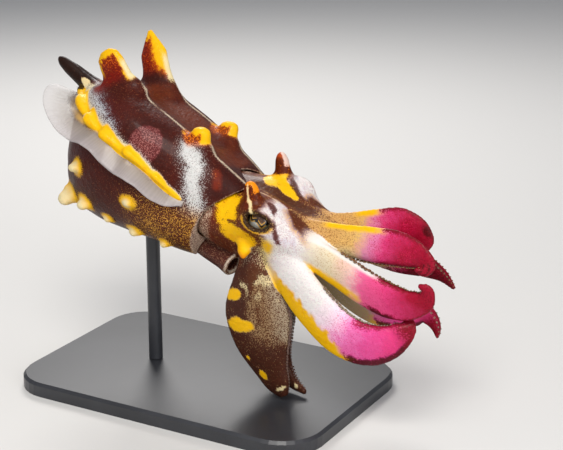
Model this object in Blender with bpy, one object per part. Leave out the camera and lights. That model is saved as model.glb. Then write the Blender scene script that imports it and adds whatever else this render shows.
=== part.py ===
"""Flamboyant cuttlefish, life size, as a still museum model held over a plain stand.

The animal faces +X with its left side at +Y. Shapes are worked out in millimetres from the
middle of the collar, where the mantle ends and the head comes out, and are put in metres.
"""
import math

import bmesh
import bpy
import numpy as np
from mathutils import Matrix
from mathutils.bvhtree import BVHTree

MM = 0.001
GAP = 0.3
MERGE = 0.000005

COLLAR = np.array([8.0, 0.0, 52.4])
MANTLE_PITCH = 18.0
MANTLE_ROLL = -12.0
HEAD_CENTRE = COLLAR + np.array([16.0, 0.0, 0.0])
HEAD_PITCH = 16.0
HEAD_ROLL = 8.0

MANTLE_RINGS = 22
MANTLE_FIRST_TURN = 0.12
MANTLE_CREST_STEPS = 4
MANTLE_SHOULDER_STEPS = 5
MANTLE_BELLY_STEPS = 10
SHOULDER_FULLNESS = 0.9
BELLY_FULLNESS = 0.88
# How late each section swings forward to the back's edge, so that the collar ends in a tongue.
TONGUE = 3.0

# Each mantle row: x at the back, x at the belly, height of the middle of the back, ridge's distance
# from the middle, ridge's height, half-width, height of the widest line, height of the belly.
MANTLE_ROWS = [
    (6.2, -3.4, 10.6, 6.2, 11.0, 13.2, 0.5, -14.2),
    (-5.0, -8.0, 13.6, 8.2, 14.6, 15.8, 2.5, -15.0),
    (-14.0, -15.0, 15.5, 9.0, 17.0, 18.0, 4.5, -15.8),
    (-25.0, -25.0, 18.0, 9.2, 19.5, 20.0, 8.5, -17.2),
    (-37.0, -36.0, 19.2, 8.6, 20.8, 19.0, 10.5, -18.2),
    (-46.0, -44.0, 17.4, 6.0, 18.4, 15.0, 10.5, -16.8),
    (-52.0, -49.5, 14.8, 3.8, 15.2, 10.0, 8.5, -11.5),
    (-55.4, -52.6, 11.6, 1.8, 11.7, 5.0, 5.5, -3.5),
    (-56.4, -54.4, 8.0, 0.4, 8.0, 0.8, 6.5, 5.0),
]

# Each head row: x at the top, x at the bottom, half-width, height of the widest line, top, bottom.
HEAD_ROWS = [
    (-25.5, -24.0, 1.0, -4.0, -3.2, -5.0),
    (-24.0, -22.5, 8.5, -3.6, 2.0, -8.0),
    (-19.0, -18.0, 11.8, -2.6, 5.8, -10.6),
    (-13.0, -13.0, 12.1, -2.0, 7.0, -12.0),
    (-6.0, -6.0, 10.9, -1.0, 7.2, -12.6),
    (1.0, 0.5, 10.1, 0.0, 6.7, -12.8),
    (8.0, 5.5, 9.8, 0.0, 6.4, -13.2),
    (13.5, 8.5, 9.0, 0.0, 6.4, -11.8),
    (17.0, 10.5, 6.8, 0.0, 5.0, -8.5),
    (18.6, 13.0, 2.0, 0.0, 2.0, -3.0),
]
HEAD_RINGS = 21
HEAD_SIDES = 28
HEAD_FULLNESS = 0.85
EYE_BULGE = 4.1
EYE_BULGE_RIGHT = (-1.0, 5.2)
EYE_BULGE_LEFT = (-1.8, 5.2)
EYE_BULGE_SPREAD = (7.6, 6.6)
EYE_BULGE_LIFT = 0.75
EYE_BULGE_INNER = 4.0

# Each eye: name, side, centre in head coordinates. The head is turned a little to its right.
EYES = [("right", -1, (-1.4, -8.0, 4.0)), ("left", 1, (-1.2, 7.9, 4.0))]
EYE_RADIUS = 4.1
EYE_SEGMENTS = 16
EYE_RINGS = 8
# Each eye looks this many degrees up and forward, and its opening turns with it.
GAZE_UP = 20.0
GAZE_FORWARD = 7.0
EYE_OPENING = (3.7, 2.1)
OPENING_SIDES = 20
OPENING_REACH = (2.0, 10.3)
# Each lid: radius of the fold and whether it is above the opening.
LIDS = [(0.75, 1), (0.5, -1)]
LID_OFFSET = 0.5
LID_CORNER = 0.4
LID_STEPS = 8
LID_SIDES = 6
LIP_AT = (18.2, 0.0, -1.6)
LIP_RADII = (1.1, 0.5)
LIP_SEGMENTS = (10, 5)

FUNNEL_ROOT = (-20.5, -4.2, -14.0)
FUNNEL_MOUTH = (-8.0, -7.3, -14.4)
FUNNEL_RADII = (3.4, 3.3, 3.1, 2.9, 3.1)
FUNNEL_SIDES = 20
# Each step of the funnel's bore: distance behind the mouth and radius.
FUNNEL_BORE = [(-0.6, 2.3), (2.0, 2.3), (8.0, 1.7)]

# Colour and roughness of each material.
SKINS = {
    "mantle": ((0.16, 0.05, 0.045), 0.45),
    "head": ((0.42, 0.30, 0.24), 0.45),
    "funnel": ((0.22, 0.12, 0.15), 0.45),
    "fin": ((0.45, 0.38, 0.48), 0.4),
    "eye": ((0.35, 0.36, 0.28), 0.15),
    "arm_1": ((0.50, 0.16, 0.12), 0.4),
    "arm_2": ((0.48, 0.13, 0.12), 0.4),
    "arm_3": ((0.52, 0.18, 0.18), 0.4),
    "arm_4": ((0.12, 0.05, 0.05), 0.4),
    "stand": ((0.05, 0.05, 0.055), 0.5),
}

FIN_STATIONS = 26
FIN_WAVES = 3.0
FIN_SWING = 9.0
FIN_LEFT_PHASE = 0.6
# The fin starts this far inside the widest line of the body and this far over it.
FIN_ROOT = 2.0
FIN_LIFT = -0.6
# How far the fin leans back in degrees, at places from its front end to its back end.
FIN_LEAN_PLACES = [0.0, 0.7, 1.0]
FIN_LEAN_BACK = [4.0, 14.0, 62.0]
# Each step across the fin: share of its width and thickness.
FIN_SECTION = [(0.0, 1.3), (0.4, 1.1), (0.75, 0.78), (0.97, 0.6), (1.0, 0.0)]
# Each fin row: place along the mantle, width of the fin, mean droop below level in degrees.
FIN_ROWS = [
    (-7.0, 2.2, 48.0),
    (-15.0, 4.8, 50.0),
    (-25.0, 6.2, 50.0),
    (-36.0, 6.8, 46.0),
    (-46.0, 8.0, 38.0),
    (-52.0, 10.0, 30.0),
    (-54.8, 9.6, 26.0),
]

# Each outline of a papilla: share of the height and share of the width, from foot to tip.
PAPILLA_OUTLINES = {
    "paddle": [(0.0, 1.25), (0.25, 0.95), (0.65, 0.95), (0.88, 0.8), (1.0, 0.36)],
    "blade": [(0.0, 1.2), (0.3, 1.0), (0.62, 0.95), (0.8, 0.58), (1.0, 0.14)],
    "horn": [(0.0, 1.3), (0.3, 1.0), (0.7, 0.82), (0.93, 0.5), (1.0, 0.12)],
}
# Each dorsal papilla: foot x, y, z, then tip x, y, z, width, thickness and outline.
DORSAL_PAPILLAE = [
    ((-39.2, -8.8, 20.0), (-48.6, -10.4, 27.6), 4.6, 1.9, "paddle"),
    ((-38.2, 8.8, 20.0), (-49.2, 10.6, 34.2), 4.5, 1.8, "blade"),
    ((-11.5, -8.8, 15.6), (-12.8, -9.9, 20.6), 2.9, 2.1, "paddle"),
    ((-13.0, 8.8, 15.8), (-14.6, 10.0, 21.0), 3.1, 2.1, "paddle"),
    ((-51.6, -3.0, 14.2), (-66.0, -3.6, 18.2), 2.3, 1.6, "horn"),
    ((-53.4, 2.4, 13.8), (-66.6, 1.6, 16.6), 2.2, 1.5, "horn"),
]
# Each papilla over an eye, in head coordinates: foot, tip, width, thickness.
EYE_PAPILLAE = [
    ((-4.8, -8.6, 8.2), (-7.2, -8.2, 13.2), 2.1, 1.5),
    ((-6.0, 8.4, 8.8), (-8.6, 9.6, 14.2), 1.9, 1.5),
]
# Flap below each eye: foot, tip, width, thickness on the left side.
CHEEK_FLAP = ((-4.2, 10.4, -3.6), (-2.6, 12.9, -6.6), 1.9, 1.2)
PAPILLA_SINK = 3.0
PAPILLA_SIDES = 8
BELLY_PAPILLA_SIDES = 6
BELLY_PAPILLA_THINNESS = 0.7
BELLY_PAPILLA_SWEEP = 0.35

# Each belly papilla: x and turn from the widest line down to the belly in degrees, length, width.
BELLY_PAPILLAE = [
    (-11.0, 62.0, 1.5, 1.3),
    (-20.4, 62.0, 1.8, 1.7),
    (-29.0, 60.0, 1.5, 1.4),
    (-37.3, 56.0, 2.4, 2.0),
    (-44.8, 66.0, 4.0, 2.8),
    (-21.8, 30.0, 1.5, 1.5),
    (-42.0, 30.0, 2.2, 1.9),
]

# Each arm row: x, y, z from the collar, half-width of the blade, half-thickness. The last row is
# the tip. The sign tells where the suckers sit: 1 is below the path of an arm that points forward.
ARMS = {
    "right_1": (1, [
        (22.0, -3.4, -1.4, 3.4, 1.9), (30.0, -3.8, -0.4, 4.1, 1.9), (38.0, -4.0, -0.2, 4.4, 1.8),
        (47.0, -4.2, 0.0, 4.9, 1.7), (55.0, -4.6, 0.2, 4.6, 1.5), (60.0, -5.4, -0.6, 3.4, 1.2),
        (62.8, -6.4, -2.4, 2.1, 1.0), (62.0, -7.3, -4.0, 1.3, 0.8), (59.6, -7.9, -3.2, 0.6, 0.45)]),
    "right_2": (-1, [
        (22.0, -6.0, -3.0, 3.8, 2.0), (31.0, -7.2, -5.0, 4.5, 2.0), (38.0, -7.5, -7.8, 4.8, 1.9),
        (46.0, -7.8, -11.2, 5.0, 1.8), (53.5, -8.0, -13.3, 4.9, 1.6), (59.4, -8.2, -13.0, 3.9, 1.4),
        (63.4, -8.4, -10.6, 2.6, 1.1), (63.8, -8.9, -7.8, 1.6, 0.9), (61.4, -9.4, -6.8, 0.6, 0.45)]),
    "right_3": (-1, [
        (18.0, -6.8, -6.5, 4.6, 2.2), (25.0, -8.8, -12.2, 5.9, 2.2), (32.5, -9.4, -19.4, 6.4, 2.1),
        (41.0, -9.8, -24.8, 6.5, 1.9), (49.4, -9.4, -25.6, 5.7, 1.7), (55.2, -8.2, -23.0, 4.0, 1.4),
        (57.6, -6.4, -19.6, 2.4, 1.1), (56.8, -4.8, -17.2, 0.6, 0.5)]),
    "right_4": (-1, [
        (12.0, -6.0, -8.0, 4.6, 2.3), (12.6, -7.8, -15.0, 7.2, 2.4), (13.4, -8.4, -23.5, 10.2, 2.3),
        (14.8, -8.4, -32.0, 8.9, 2.1), (17.6, -8.0, -40.0, 5.4, 1.8), (20.2, -7.6, -45.2, 3.2, 1.4),
        (21.4, -7.4, -47.2, 1.4, 0.7)]),
    "left_1": (1, [
        (22.0, 3.6, -2.4, 3.6, 1.9), (30.0, 3.9, -0.6, 4.3, 1.9), (37.0, 4.1, 0.6, 4.6, 1.8),
        (44.5, 4.2, 2.4, 4.8, 1.7), (51.0, 4.2, 4.0, 4.3, 1.5), (55.4, 4.3, 2.8, 3.2, 1.2),
        (57.2, 4.6, 0.0, 2.2, 1.0), (56.6, 5.0, -3.0, 0.6, 0.5)]),
    "left_2": (-1, [
        (22.0, 6.0, -3.0, 3.8, 2.0), (31.0, 7.0, -3.6, 4.4, 2.0), (40.0, 7.4, -5.4, 4.6, 1.9),
        (48.5, 7.5, -7.0, 4.3, 1.7), (55.5, 7.5, -7.8, 3.3, 1.4), (61.0, 7.3, -9.8, 1.8, 1.0),
        (64.6, 7.0, -12.6, 0.5, 0.4)]),
    "left_3": (-1, [
        (18.0, 6.8, -6.5, 4.6, 2.2), (25.0, 8.6, -12.0, 5.9, 2.2), (33.0, 9.2, -18.6, 6.2, 2.1),
        (42.0, 9.4, -22.6, 5.8, 1.9), (50.0, 9.2, -22.6, 4.6, 1.6), (55.6, 8.8, -21.8, 3.0, 1.3),
        (58.8, 8.4, -24.6, 1.7, 1.0), (59.8, 8.0, -27.8, 0.5, 0.4)]),
    "left_4": (-1, [
        (12.0, 5.4, -8.0, 4.6, 2.3), (11.8, 4.8, -15.0, 6.2, 2.3), (11.0, 3.6, -23.5, 7.6, 2.2),
        (11.8, 2.4, -32.0, 6.8, 2.0), (14.6, 1.4, -40.0, 4.2, 1.7), (19.6, -1.0, -45.0, 2.3, 1.3),
        (25.6, -3.0, -47.0, 0.8, 0.6)]),
}
ARM_RINGS = 20
ARM_SIDES = 12
ARM_SPLIT = 0.52
ORAL_THICKENING = 0.35
# Half the stretch, as a share of an arm, over which its direction is measured.
ARM_STEP = 0.004

# Suckers sit in two rows that take turns along the arm, each a shallow cup.
SUCKERS_PER_ARM = 14
SUCKER_START = 0.34
SUCKER_END = 0.96
SUCKER_RADIUS = (0.95, 0.32)
SUCKER_SIDES = 6
SUCKER_LEAN = 24.0
SUCKER_VARIATION = 0.08
SUCKER_SEED = 11
SUCKER_CROWDING = 0.85
# Share of a cup's radius by which the next cup or a neighbouring arm keeps clear of its rim.
SUCKER_ROOM = 1.2
# Each step of a cup's side from its foot: height and radius, as shares of the rim's radius.
SUCKER_PROFILE = [(-1.1, 0.7), (0.75, 1.0), (0.45, 0.5)]

BASE_LENGTH = 96.0
BASE_WIDTH = 64.0
BASE_HEIGHT = 4.0
BASE_CORNER = 12.0
BASE_EDGE = 0.8
CORNER_STEPS = 8
ROD_AT = (-18.0, 0.0)
ROD_RADIUS = 2.0
ROD_TOP = 60.0
ROD_SIDES = 32
SHARP_ANGLE = 50.0


def clear_scene():
    """Remove every object the new file starts with."""
    for obj in list(bpy.data.objects):
        bpy.data.objects.remove(obj, do_unlink=True)


def material(name, colour, roughness):
    """Principled material of one plain colour."""
    made = bpy.data.materials.new(name)
    made.use_nodes = True
    shader = made.node_tree.nodes["Principled BSDF"]
    shader.inputs["Base Color"].default_value = (*colour, 1.0)
    shader.inputs["Roughness"].default_value = roughness
    made.diffuse_color = (*colour, 1.0)
    return made


def frame(pitch, roll):
    """Turn by pitch degrees nose down, after a roll in degrees that lifts the left side."""
    nose = Matrix.Rotation(math.radians(pitch), 3, "Y")
    side = Matrix.Rotation(math.radians(roll), 3, "X")
    return np.array(nose @ side)


MANTLE_TURN = frame(MANTLE_PITCH, MANTLE_ROLL)
HEAD_TURN = frame(HEAD_PITCH, HEAD_ROLL)


def from_mantle(points):
    """Mantle coordinates to scene coordinates, both in millimetres."""
    return np.asarray(points, float) @ MANTLE_TURN.T + COLLAR


def from_head(points):
    """Head coordinates to scene coordinates, both in millimetres."""
    return np.asarray(points, float) @ HEAD_TURN.T + HEAD_CENTRE


def curve_rows(rows, places, width=3):
    """Smooth rows at the given places, which run from 0 to 1 along the rows.

    The rows are joined by cubic pieces. Their first columns, as many as width, are a position
    and set the distance between two rows.
    """
    rows = np.asarray(rows, float)
    steps = np.linalg.norm(np.diff(rows[:, :width], axis=0), axis=1)
    knots = np.concatenate([[0.0], np.cumsum(steps)])
    slopes = np.diff(rows, axis=0) / steps[:, None]
    tangents = np.empty_like(rows)
    tangents[0] = slopes[0]
    tangents[-1] = slopes[-1]
    before = steps[:-1, None]
    after = steps[1:, None]
    tangents[1:-1] = (slopes[1:] * before + slopes[:-1] * after) / (before + after)
    at = np.asarray(places, float) * knots[-1]
    index = np.clip(np.searchsorted(knots, at, side="right") - 1, 0, len(steps) - 1)
    span = steps[index][:, None]
    t = (at[:, None] - knots[index][:, None]) / span
    start = rows[index] * (1 + 2 * t) * (1 - t) ** 2 + tangents[index] * span * t * (1 - t) ** 2
    end = rows[index + 1] * t**2 * (3 - 2 * t) + tangents[index + 1] * span * t**2 * (t - 1)
    return start + end


def new_object(name, points, faces):
    """Object from points in millimetres, with its faces turned outward."""
    mesh = bpy.data.meshes.new(name)
    mesh.from_pydata((np.asarray(points, float) * MM).tolist(), [], faces)
    body = bmesh.new()
    body.from_mesh(mesh)
    bmesh.ops.recalc_face_normals(body, faces=body.faces)
    body.to_mesh(mesh)
    body.free()
    obj = bpy.data.objects.new(name, mesh)
    bpy.context.scene.collection.objects.link(obj)
    return obj


def loft(name, rings):
    """Closed solid through rings of as many points each, with a fan of triangles on both ends."""
    rings = np.asarray(rings, float)
    count, sides = rings.shape[:2]
    points = np.vstack([rings.reshape(-1, 3), rings[0].mean(axis=0), rings[-1].mean(axis=0)])
    faces = []
    for ring in range(count - 1):
        for side in range(sides):
            beside = (side + 1) % sides
            low = ring * sides
            high = low + sides
            faces.append((low + side, low + beside, high + beside, high + side))
    first = count * sides
    last = (count - 1) * sides
    for side in range(sides):
        beside = (side + 1) % sides
        faces.append((first, side, beside))
        faces.append((first + 1, last + beside, last + side))
    return new_object(name, points, faces)


def mantle_ring(row):
    """One closed section of the mantle, from the middle of the back round the right side.

    The back dips between the ridges by half a cosine. Quarter arcs lead from the ridge to the
    widest line and from there to the belly.
    """
    x_top, x_low, middle, ridge_y, ridge_z, half, widest, belly = row
    crest = np.arange(MANTLE_CREST_STEPS) / MANTLE_CREST_STEPS
    shoulder = np.arange(MANTLE_SHOULDER_STEPS) / MANTLE_SHOULDER_STEPS * math.pi / 2
    under = np.linspace(0.0, math.pi / 2, MANTLE_BELLY_STEPS + 1)
    y = np.concatenate([
        ridge_y * crest,
        ridge_y + (half - ridge_y) * np.sin(shoulder) ** SHOULDER_FULLNESS,
        half * np.abs(np.cos(under)) ** BELLY_FULLNESS])
    z = np.concatenate([
        middle + (ridge_z - middle) * (1 - np.cos(math.pi * crest)) / 2,
        widest + (ridge_z - widest) * np.cos(shoulder) ** SHOULDER_FULLNESS,
        widest + (belly - widest) * np.sin(under) ** BELLY_FULLNESS])
    y = np.concatenate([-y, y[-2:0:-1]])
    z = np.concatenate([z, z[-2:0:-1]])
    share = np.clip((z - belly) / max(ridge_z - belly, 0.1), 0.0, 1.0)
    x = x_low + (x_top - x_low) * share**TONGUE
    return np.stack([x, y, z], axis=1)


def mantle_body():
    """The smooth bag of the mantle without its papillae."""
    places = 0.5 - 0.5 * np.cos(np.linspace(MANTLE_FIRST_TURN, 1.0, MANTLE_RINGS) * math.pi)
    places = (places - places[0]) / (places[-1] - places[0])
    rows = curve_rows(MANTLE_ROWS, places, 1)
    return loft("mantle", [from_mantle(mantle_ring(row)) for row in rows])


def mantle_side(x, angle, side):
    """Point and outward direction on the belly's arc at an angle below the widest line."""
    rows = np.asarray(MANTLE_ROWS, float)[::-1]
    values = [np.interp(x, rows[:, 0], rows[:, column]) for column in range(rows.shape[1])]
    half, widest, belly = values[5:8]
    turn = math.radians(angle)
    point = np.array([
        x,
        side * half * math.cos(turn) ** BELLY_FULLNESS,
        widest + (belly - widest) * math.sin(turn) ** BELLY_FULLNESS])
    outward = np.array([0.0, side * math.cos(turn) / half, math.sin(turn) / (belly - widest)])
    return point, outward / np.linalg.norm(outward)


def papilla(foot, tip, width, thickness, outline="horn", sides=PAPILLA_SIDES):
    """Tapered flap from a foot, sunk below the skin, to a tip; wider along the body than across."""
    foot = np.asarray(foot, float)
    tip = np.asarray(tip, float)
    along = tip - foot
    length = np.linalg.norm(along)
    along /= length
    across = np.cross(along, (1.0, 0.0, 0.0))
    across /= np.linalg.norm(across)
    wide = np.cross(across, along)
    angle = np.arange(sides) / sides * 2 * math.pi
    rings = []
    steps = PAPILLA_OUTLINES[outline]
    for place, size in [(-PAPILLA_SINK / length, steps[0][1])] + steps:
        centre = foot + along * place * length
        rings.append(centre + size * (
            width * np.cos(angle)[:, None] * wide + thickness * np.sin(angle)[:, None] * across))
    return loft("papilla", rings)


def head_body():
    """Head with the neck behind, the bulges of both eyes and the foot of the arm crown."""
    places = np.linspace(0.0, 1.0, HEAD_RINGS)
    angle = np.arange(HEAD_SIDES) / HEAD_SIDES * 2 * math.pi
    rings = []
    for x_top, x_low, half, widest, top, low in curve_rows(HEAD_ROWS, places, 1):
        upper = np.sin(angle) > 0
        rise = np.where(upper, top - widest, widest - low)
        y = half * np.sign(np.cos(angle)) * np.abs(np.cos(angle)) ** HEAD_FULLNESS
        z = widest + rise * np.sin(angle)
        x = x_low + (x_top - x_low) * (z - low) / max(top - low, 0.1)
        bulge_x = np.where(y < 0, EYE_BULGE_RIGHT[0], EYE_BULGE_LEFT[0])
        bulge_z = np.where(y < 0, EYE_BULGE_RIGHT[1], EYE_BULGE_LEFT[1])
        reach = ((x - bulge_x) / EYE_BULGE_SPREAD[0]) ** 2
        reach = reach + ((z - bulge_z) / EYE_BULGE_SPREAD[1]) ** 2
        swell = EYE_BULGE * np.exp(-reach) * np.tanh(np.abs(y) / EYE_BULGE_INNER)
        y = y + np.sign(y) * swell
        z = z + EYE_BULGE_LIFT * swell
        rings.append(from_head(np.stack([x, y, z], axis=1)))
    return loft("head", rings)


def gaze(side):
    """Turn, applied from the right, that takes the sideways direction to where an eye looks."""
    up = Matrix.Rotation(math.radians(GAZE_UP) * side, 3, "X")
    forward = Matrix.Rotation(-math.radians(GAZE_FORWARD) * side, 3, "Z")
    return np.array(forward @ up).T


def eyelid(centre, side, radius, above):
    """Fold along half of the eye's opening, thick in the middle and thin in both corners."""
    turn = np.linspace(0.0, math.pi, LID_STEPS) * above
    x = (EYE_OPENING[0] + LID_OFFSET) * np.cos(turn)
    z = (EYE_OPENING[1] + LID_OFFSET) * np.sin(turn)
    y = side * np.sqrt((EYE_RADIUS + 2 * LID_OFFSET) ** 2 - x**2 - z**2)
    path = np.stack([x, y, z], axis=1)
    forward = np.gradient(path, axis=0)
    forward /= np.linalg.norm(forward, axis=1)[:, None]
    out = path / np.linalg.norm(path, axis=1)[:, None]
    out = out - (out * forward).sum(axis=1)[:, None] * forward
    out /= np.linalg.norm(out, axis=1)[:, None]
    across = np.cross(forward, out)
    size = radius * (LID_CORNER + (1 - LID_CORNER) * np.abs(np.sin(turn)))
    angle = np.arange(LID_SIDES) / LID_SIDES * 2 * math.pi
    rings = path[:, None] + size[:, None, None] * (
        np.cos(angle)[None, :, None] * out[:, None] + np.sin(angle)[None, :, None] * across[:, None])
    return loft("eyelid", from_head(rings.reshape(-1, 3) @ gaze(side) + centre).reshape(rings.shape))


def lips():
    """Round lips of the mouth in the middle of the arm crown."""
    bpy.ops.mesh.primitive_torus_add(
        major_radius=LIP_RADII[0] * MM, minor_radius=LIP_RADII[1] * MM,
        major_segments=LIP_SEGMENTS[0], minor_segments=LIP_SEGMENTS[1])
    ring = bpy.context.object
    turn = Matrix(HEAD_TURN.tolist()).to_4x4() @ Matrix.Rotation(math.pi / 2, 4, "Y")
    place = Matrix.Translation((from_head(LIP_AT) * MM).tolist())
    ring.data.transform(place @ turn)
    return ring


def ball(name, centre, radius, segments=EYE_SEGMENTS, rings=EYE_RINGS):
    """Ball of quads and end triangles about a centre in millimetres."""
    body = bmesh.new()
    bmesh.ops.create_uvsphere(body, u_segments=segments, v_segments=rings, radius=radius * MM)
    mesh = bpy.data.meshes.new(name)
    bmesh.ops.translate(body, verts=body.verts, vec=np.asarray(centre) * MM)
    body.to_mesh(mesh)
    body.free()
    obj = bpy.data.objects.new(name, mesh)
    bpy.context.scene.collection.objects.link(obj)
    return obj


def grown(obj, distance):
    """Copy of a solid with every vertex moved outward along its normal, for cutting a gap."""
    copy = bpy.data.objects.new(obj.name + "_grown", obj.data.copy())
    bpy.context.scene.collection.objects.link(copy)
    count = len(copy.data.vertices)
    points = np.empty(count * 3)
    normals = np.empty(count * 3, np.float32)
    copy.data.vertices.foreach_get("co", points)
    copy.data.vertices.foreach_get("normal", normals)
    copy.data.vertices.foreach_set("co", points + normals * distance * MM)
    copy.data.update()
    return copy


def keep_largest(mesh):
    """Keep the closed surface that holds the most volume; tell whether it has no open edge."""
    body = bmesh.new()
    body.from_mesh(mesh)
    bmesh.ops.remove_doubles(body, verts=body.verts, dist=MERGE)
    bmesh.ops.dissolve_degenerate(body, edges=body.edges, dist=MERGE)
    bmesh.ops.triangulate(body, faces=body.faces)
    left = set(body.verts)
    pieces = []
    while left:
        seed = left.pop()
        piece = {seed}
        todo = [seed]
        while todo:
            for edge in todo.pop().link_edges:
                for vert in edge.verts:
                    if vert in left:
                        left.discard(vert)
                        piece.add(vert)
                        todo.append(vert)
        faces = {face for vert in piece for face in vert.link_faces}
        volume = sum(face.verts[0].co.dot(face.verts[1].co.cross(face.verts[2].co)) for face in faces)
        pieces.append((abs(volume), piece))
    pieces.sort(key=lambda item: item[0])
    for _, piece in pieces[:-1]:
        bmesh.ops.delete(body, geom=list(piece), context="VERTS")
    closed = len(body.faces) > 0 and all(edge.is_manifold for edge in body.edges)
    body.to_mesh(mesh)
    body.free()
    return closed


def combine(obj, others, operation):
    """Fuse other solids into obj or cut them out of it, then remove them.

    The exact solver comes first; where its result isn't closed the manifold solver is used.
    """
    group = bpy.data.collections.new("cutters")
    bpy.context.scene.collection.children.link(group)
    for other in others:
        for holder in list(other.users_collection):
            holder.objects.unlink(other)
        group.objects.link(other)
    for solver in ("EXACT", "MANIFOLD"):
        change = obj.modifiers.new("combine", "BOOLEAN")
        change.operation = operation
        change.operand_type = "COLLECTION"
        change.collection = group
        change.solver = solver
        bpy.context.view_layer.update()
        graph = bpy.context.evaluated_depsgraph_get()
        result = bpy.data.meshes.new_from_object(obj.evaluated_get(graph))
        obj.modifiers.clear()
        if keep_largest(result):
            break
    obj.data = result
    for other in others:
        bpy.data.objects.remove(other, do_unlink=True)
    bpy.data.collections.remove(group)


def finish(obj, origin, made):
    """Put the object's origin at a point in millimetres, shade it and give it its material."""
    for holder in list(obj.users_collection):
        holder.objects.unlink(obj)
    animal.objects.link(obj)
    shift = np.asarray(origin, float) * MM
    obj.data.transform(Matrix.Translation((-shift[0], -shift[1], -shift[2])))
    obj.location = shift.tolist()
    obj.data.name = obj.name
    obj.data.materials.clear()
    obj.data.materials.append(made)
    obj.data.shade_smooth()
    obj.data.set_sharp_from_angle(angle=math.radians(SHARP_ANGLE))


def fin(side):
    """Rippled fin along the widest line of the mantle, from a thick foot to a thin edge."""
    rows = curve_rows(FIN_ROWS, np.linspace(0.0, 1.0, FIN_STATIONS), 1)
    body_rows = np.asarray(MANTLE_ROWS, float)[::-1]
    rings = []
    for number, (x, width, droop) in enumerate(rows):
        half = np.interp(x, body_rows[:, 0], body_rows[:, 5])
        widest = np.interp(x, body_rows[:, 0], body_rows[:, 6])
        place = number / (FIN_STATIONS - 1)
        wave = math.sin(place * FIN_WAVES * 2 * math.pi + (FIN_LEFT_PHASE if side > 0 else 0.0))
        angle = math.radians(droop + FIN_SWING * wave)
        back = math.radians(np.interp(place, FIN_LEAN_PLACES, FIN_LEAN_BACK))
        level = math.cos(angle)
        out = np.array([-math.sin(back) * level, side * math.cos(back) * level, -math.sin(angle)])
        up = np.cross((1.0, 0.0, 0.0), out)
        up *= np.sign(up[2]) / np.linalg.norm(up)
        foot = np.array([x, side * (half - FIN_ROOT), widest + FIN_LIFT])
        length = width + FIN_ROOT
        upper = [foot + out * length * reach + up * thick / 2 for reach, thick in FIN_SECTION]
        lower = [foot + out * length * reach - up * thick / 2 for reach, thick in FIN_SECTION[-2::-1]]
        section = upper + lower
        rings.append(from_mantle(section))
    return loft("fin_left" if side > 0 else "fin_right", rings)


def funnel():
    """Tube under the head with a round open mouth and a blind bore behind it."""
    root = np.asarray(FUNNEL_ROOT)
    mouth = np.asarray(FUNNEL_MOUTH)
    along = (mouth - root) / np.linalg.norm(mouth - root)
    side = np.array([0.0, 1.0, 0.0])
    up = np.cross(along, side)
    angle = np.arange(FUNNEL_SIDES) / FUNNEL_SIDES * 2 * math.pi
    around = np.cos(angle)[:, None] * side + np.sin(angle)[:, None] * up
    outer = []
    for number, radius in enumerate(FUNNEL_RADII):
        place = number / (len(FUNNEL_RADII) - 1)
        outer.append(from_head(root + (mouth - root) * place + around * radius))
    tube = loft("funnel", outer)
    bore = []
    for back, radius in FUNNEL_BORE:
        bore.append(from_head(mouth - along * back + around * radius))
    combine(tube, [loft("bore", bore)], "DIFFERENCE")
    return tube


def arm_frames(table, places):
    """Path, blade direction and side direction of an arm at places from 0 to 1 along it."""
    path = curve_rows(table, places)[:, :3]
    ahead = curve_rows(table, np.clip(places + ARM_STEP, 0.0, 1.0))[:, :3]
    behind = curve_rows(table, np.clip(places - ARM_STEP, 0.0, 1.0))[:, :3]
    forward = ahead - behind
    forward /= np.linalg.norm(forward, axis=1)[:, None]
    side = np.array([0.0, -1.0, 0.0]) + 0.0 * path
    side -= (side * forward).sum(axis=1)[:, None] * forward
    side /= np.linalg.norm(side, axis=1)[:, None]
    blade = np.cross(forward, side)
    return path, blade, side


def arm_rings(name, places):
    """Sections of an arm: a drop shape, thick along the suckers' side, thin at the keel."""
    sign, table = ARMS[name]
    rows = curve_rows(table, places)
    path, blade, side = arm_frames(table, np.asarray(places))
    angle = np.arange(ARM_SIDES) / ARM_SIDES * 2 * math.pi
    high = np.cos(angle)[None, :, None] * rows[:, 3][:, None, None]
    flat = np.sin(angle) * (1 + ORAL_THICKENING * np.cos(angle))
    flat = flat[None, :, None] * rows[:, 4][:, None, None]
    return COLLAR + path[:, None] + sign * blade[:, None] * high + side[:, None] * flat


def arm_piece(name, part, start, end):
    """One length of an arm between two places along its path."""
    rings = max(4, round(ARM_RINGS * (end - start)))
    even = np.linspace(start, end, rings)
    return loft(f"arm_{name}_{part}", arm_rings(name, even))


def arm_length(name):
    """Length of an arm's path in millimetres."""
    path = np.array(ARMS[name][1])[:, :3]
    return np.linalg.norm(np.diff(path, axis=0), axis=1).sum()


def surfaces(objects):
    """Search trees over the objects' faces, in metres."""
    graph = bpy.context.evaluated_depsgraph_get()
    return [BVHTree.FromObject(obj, graph) for obj in objects]


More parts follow.
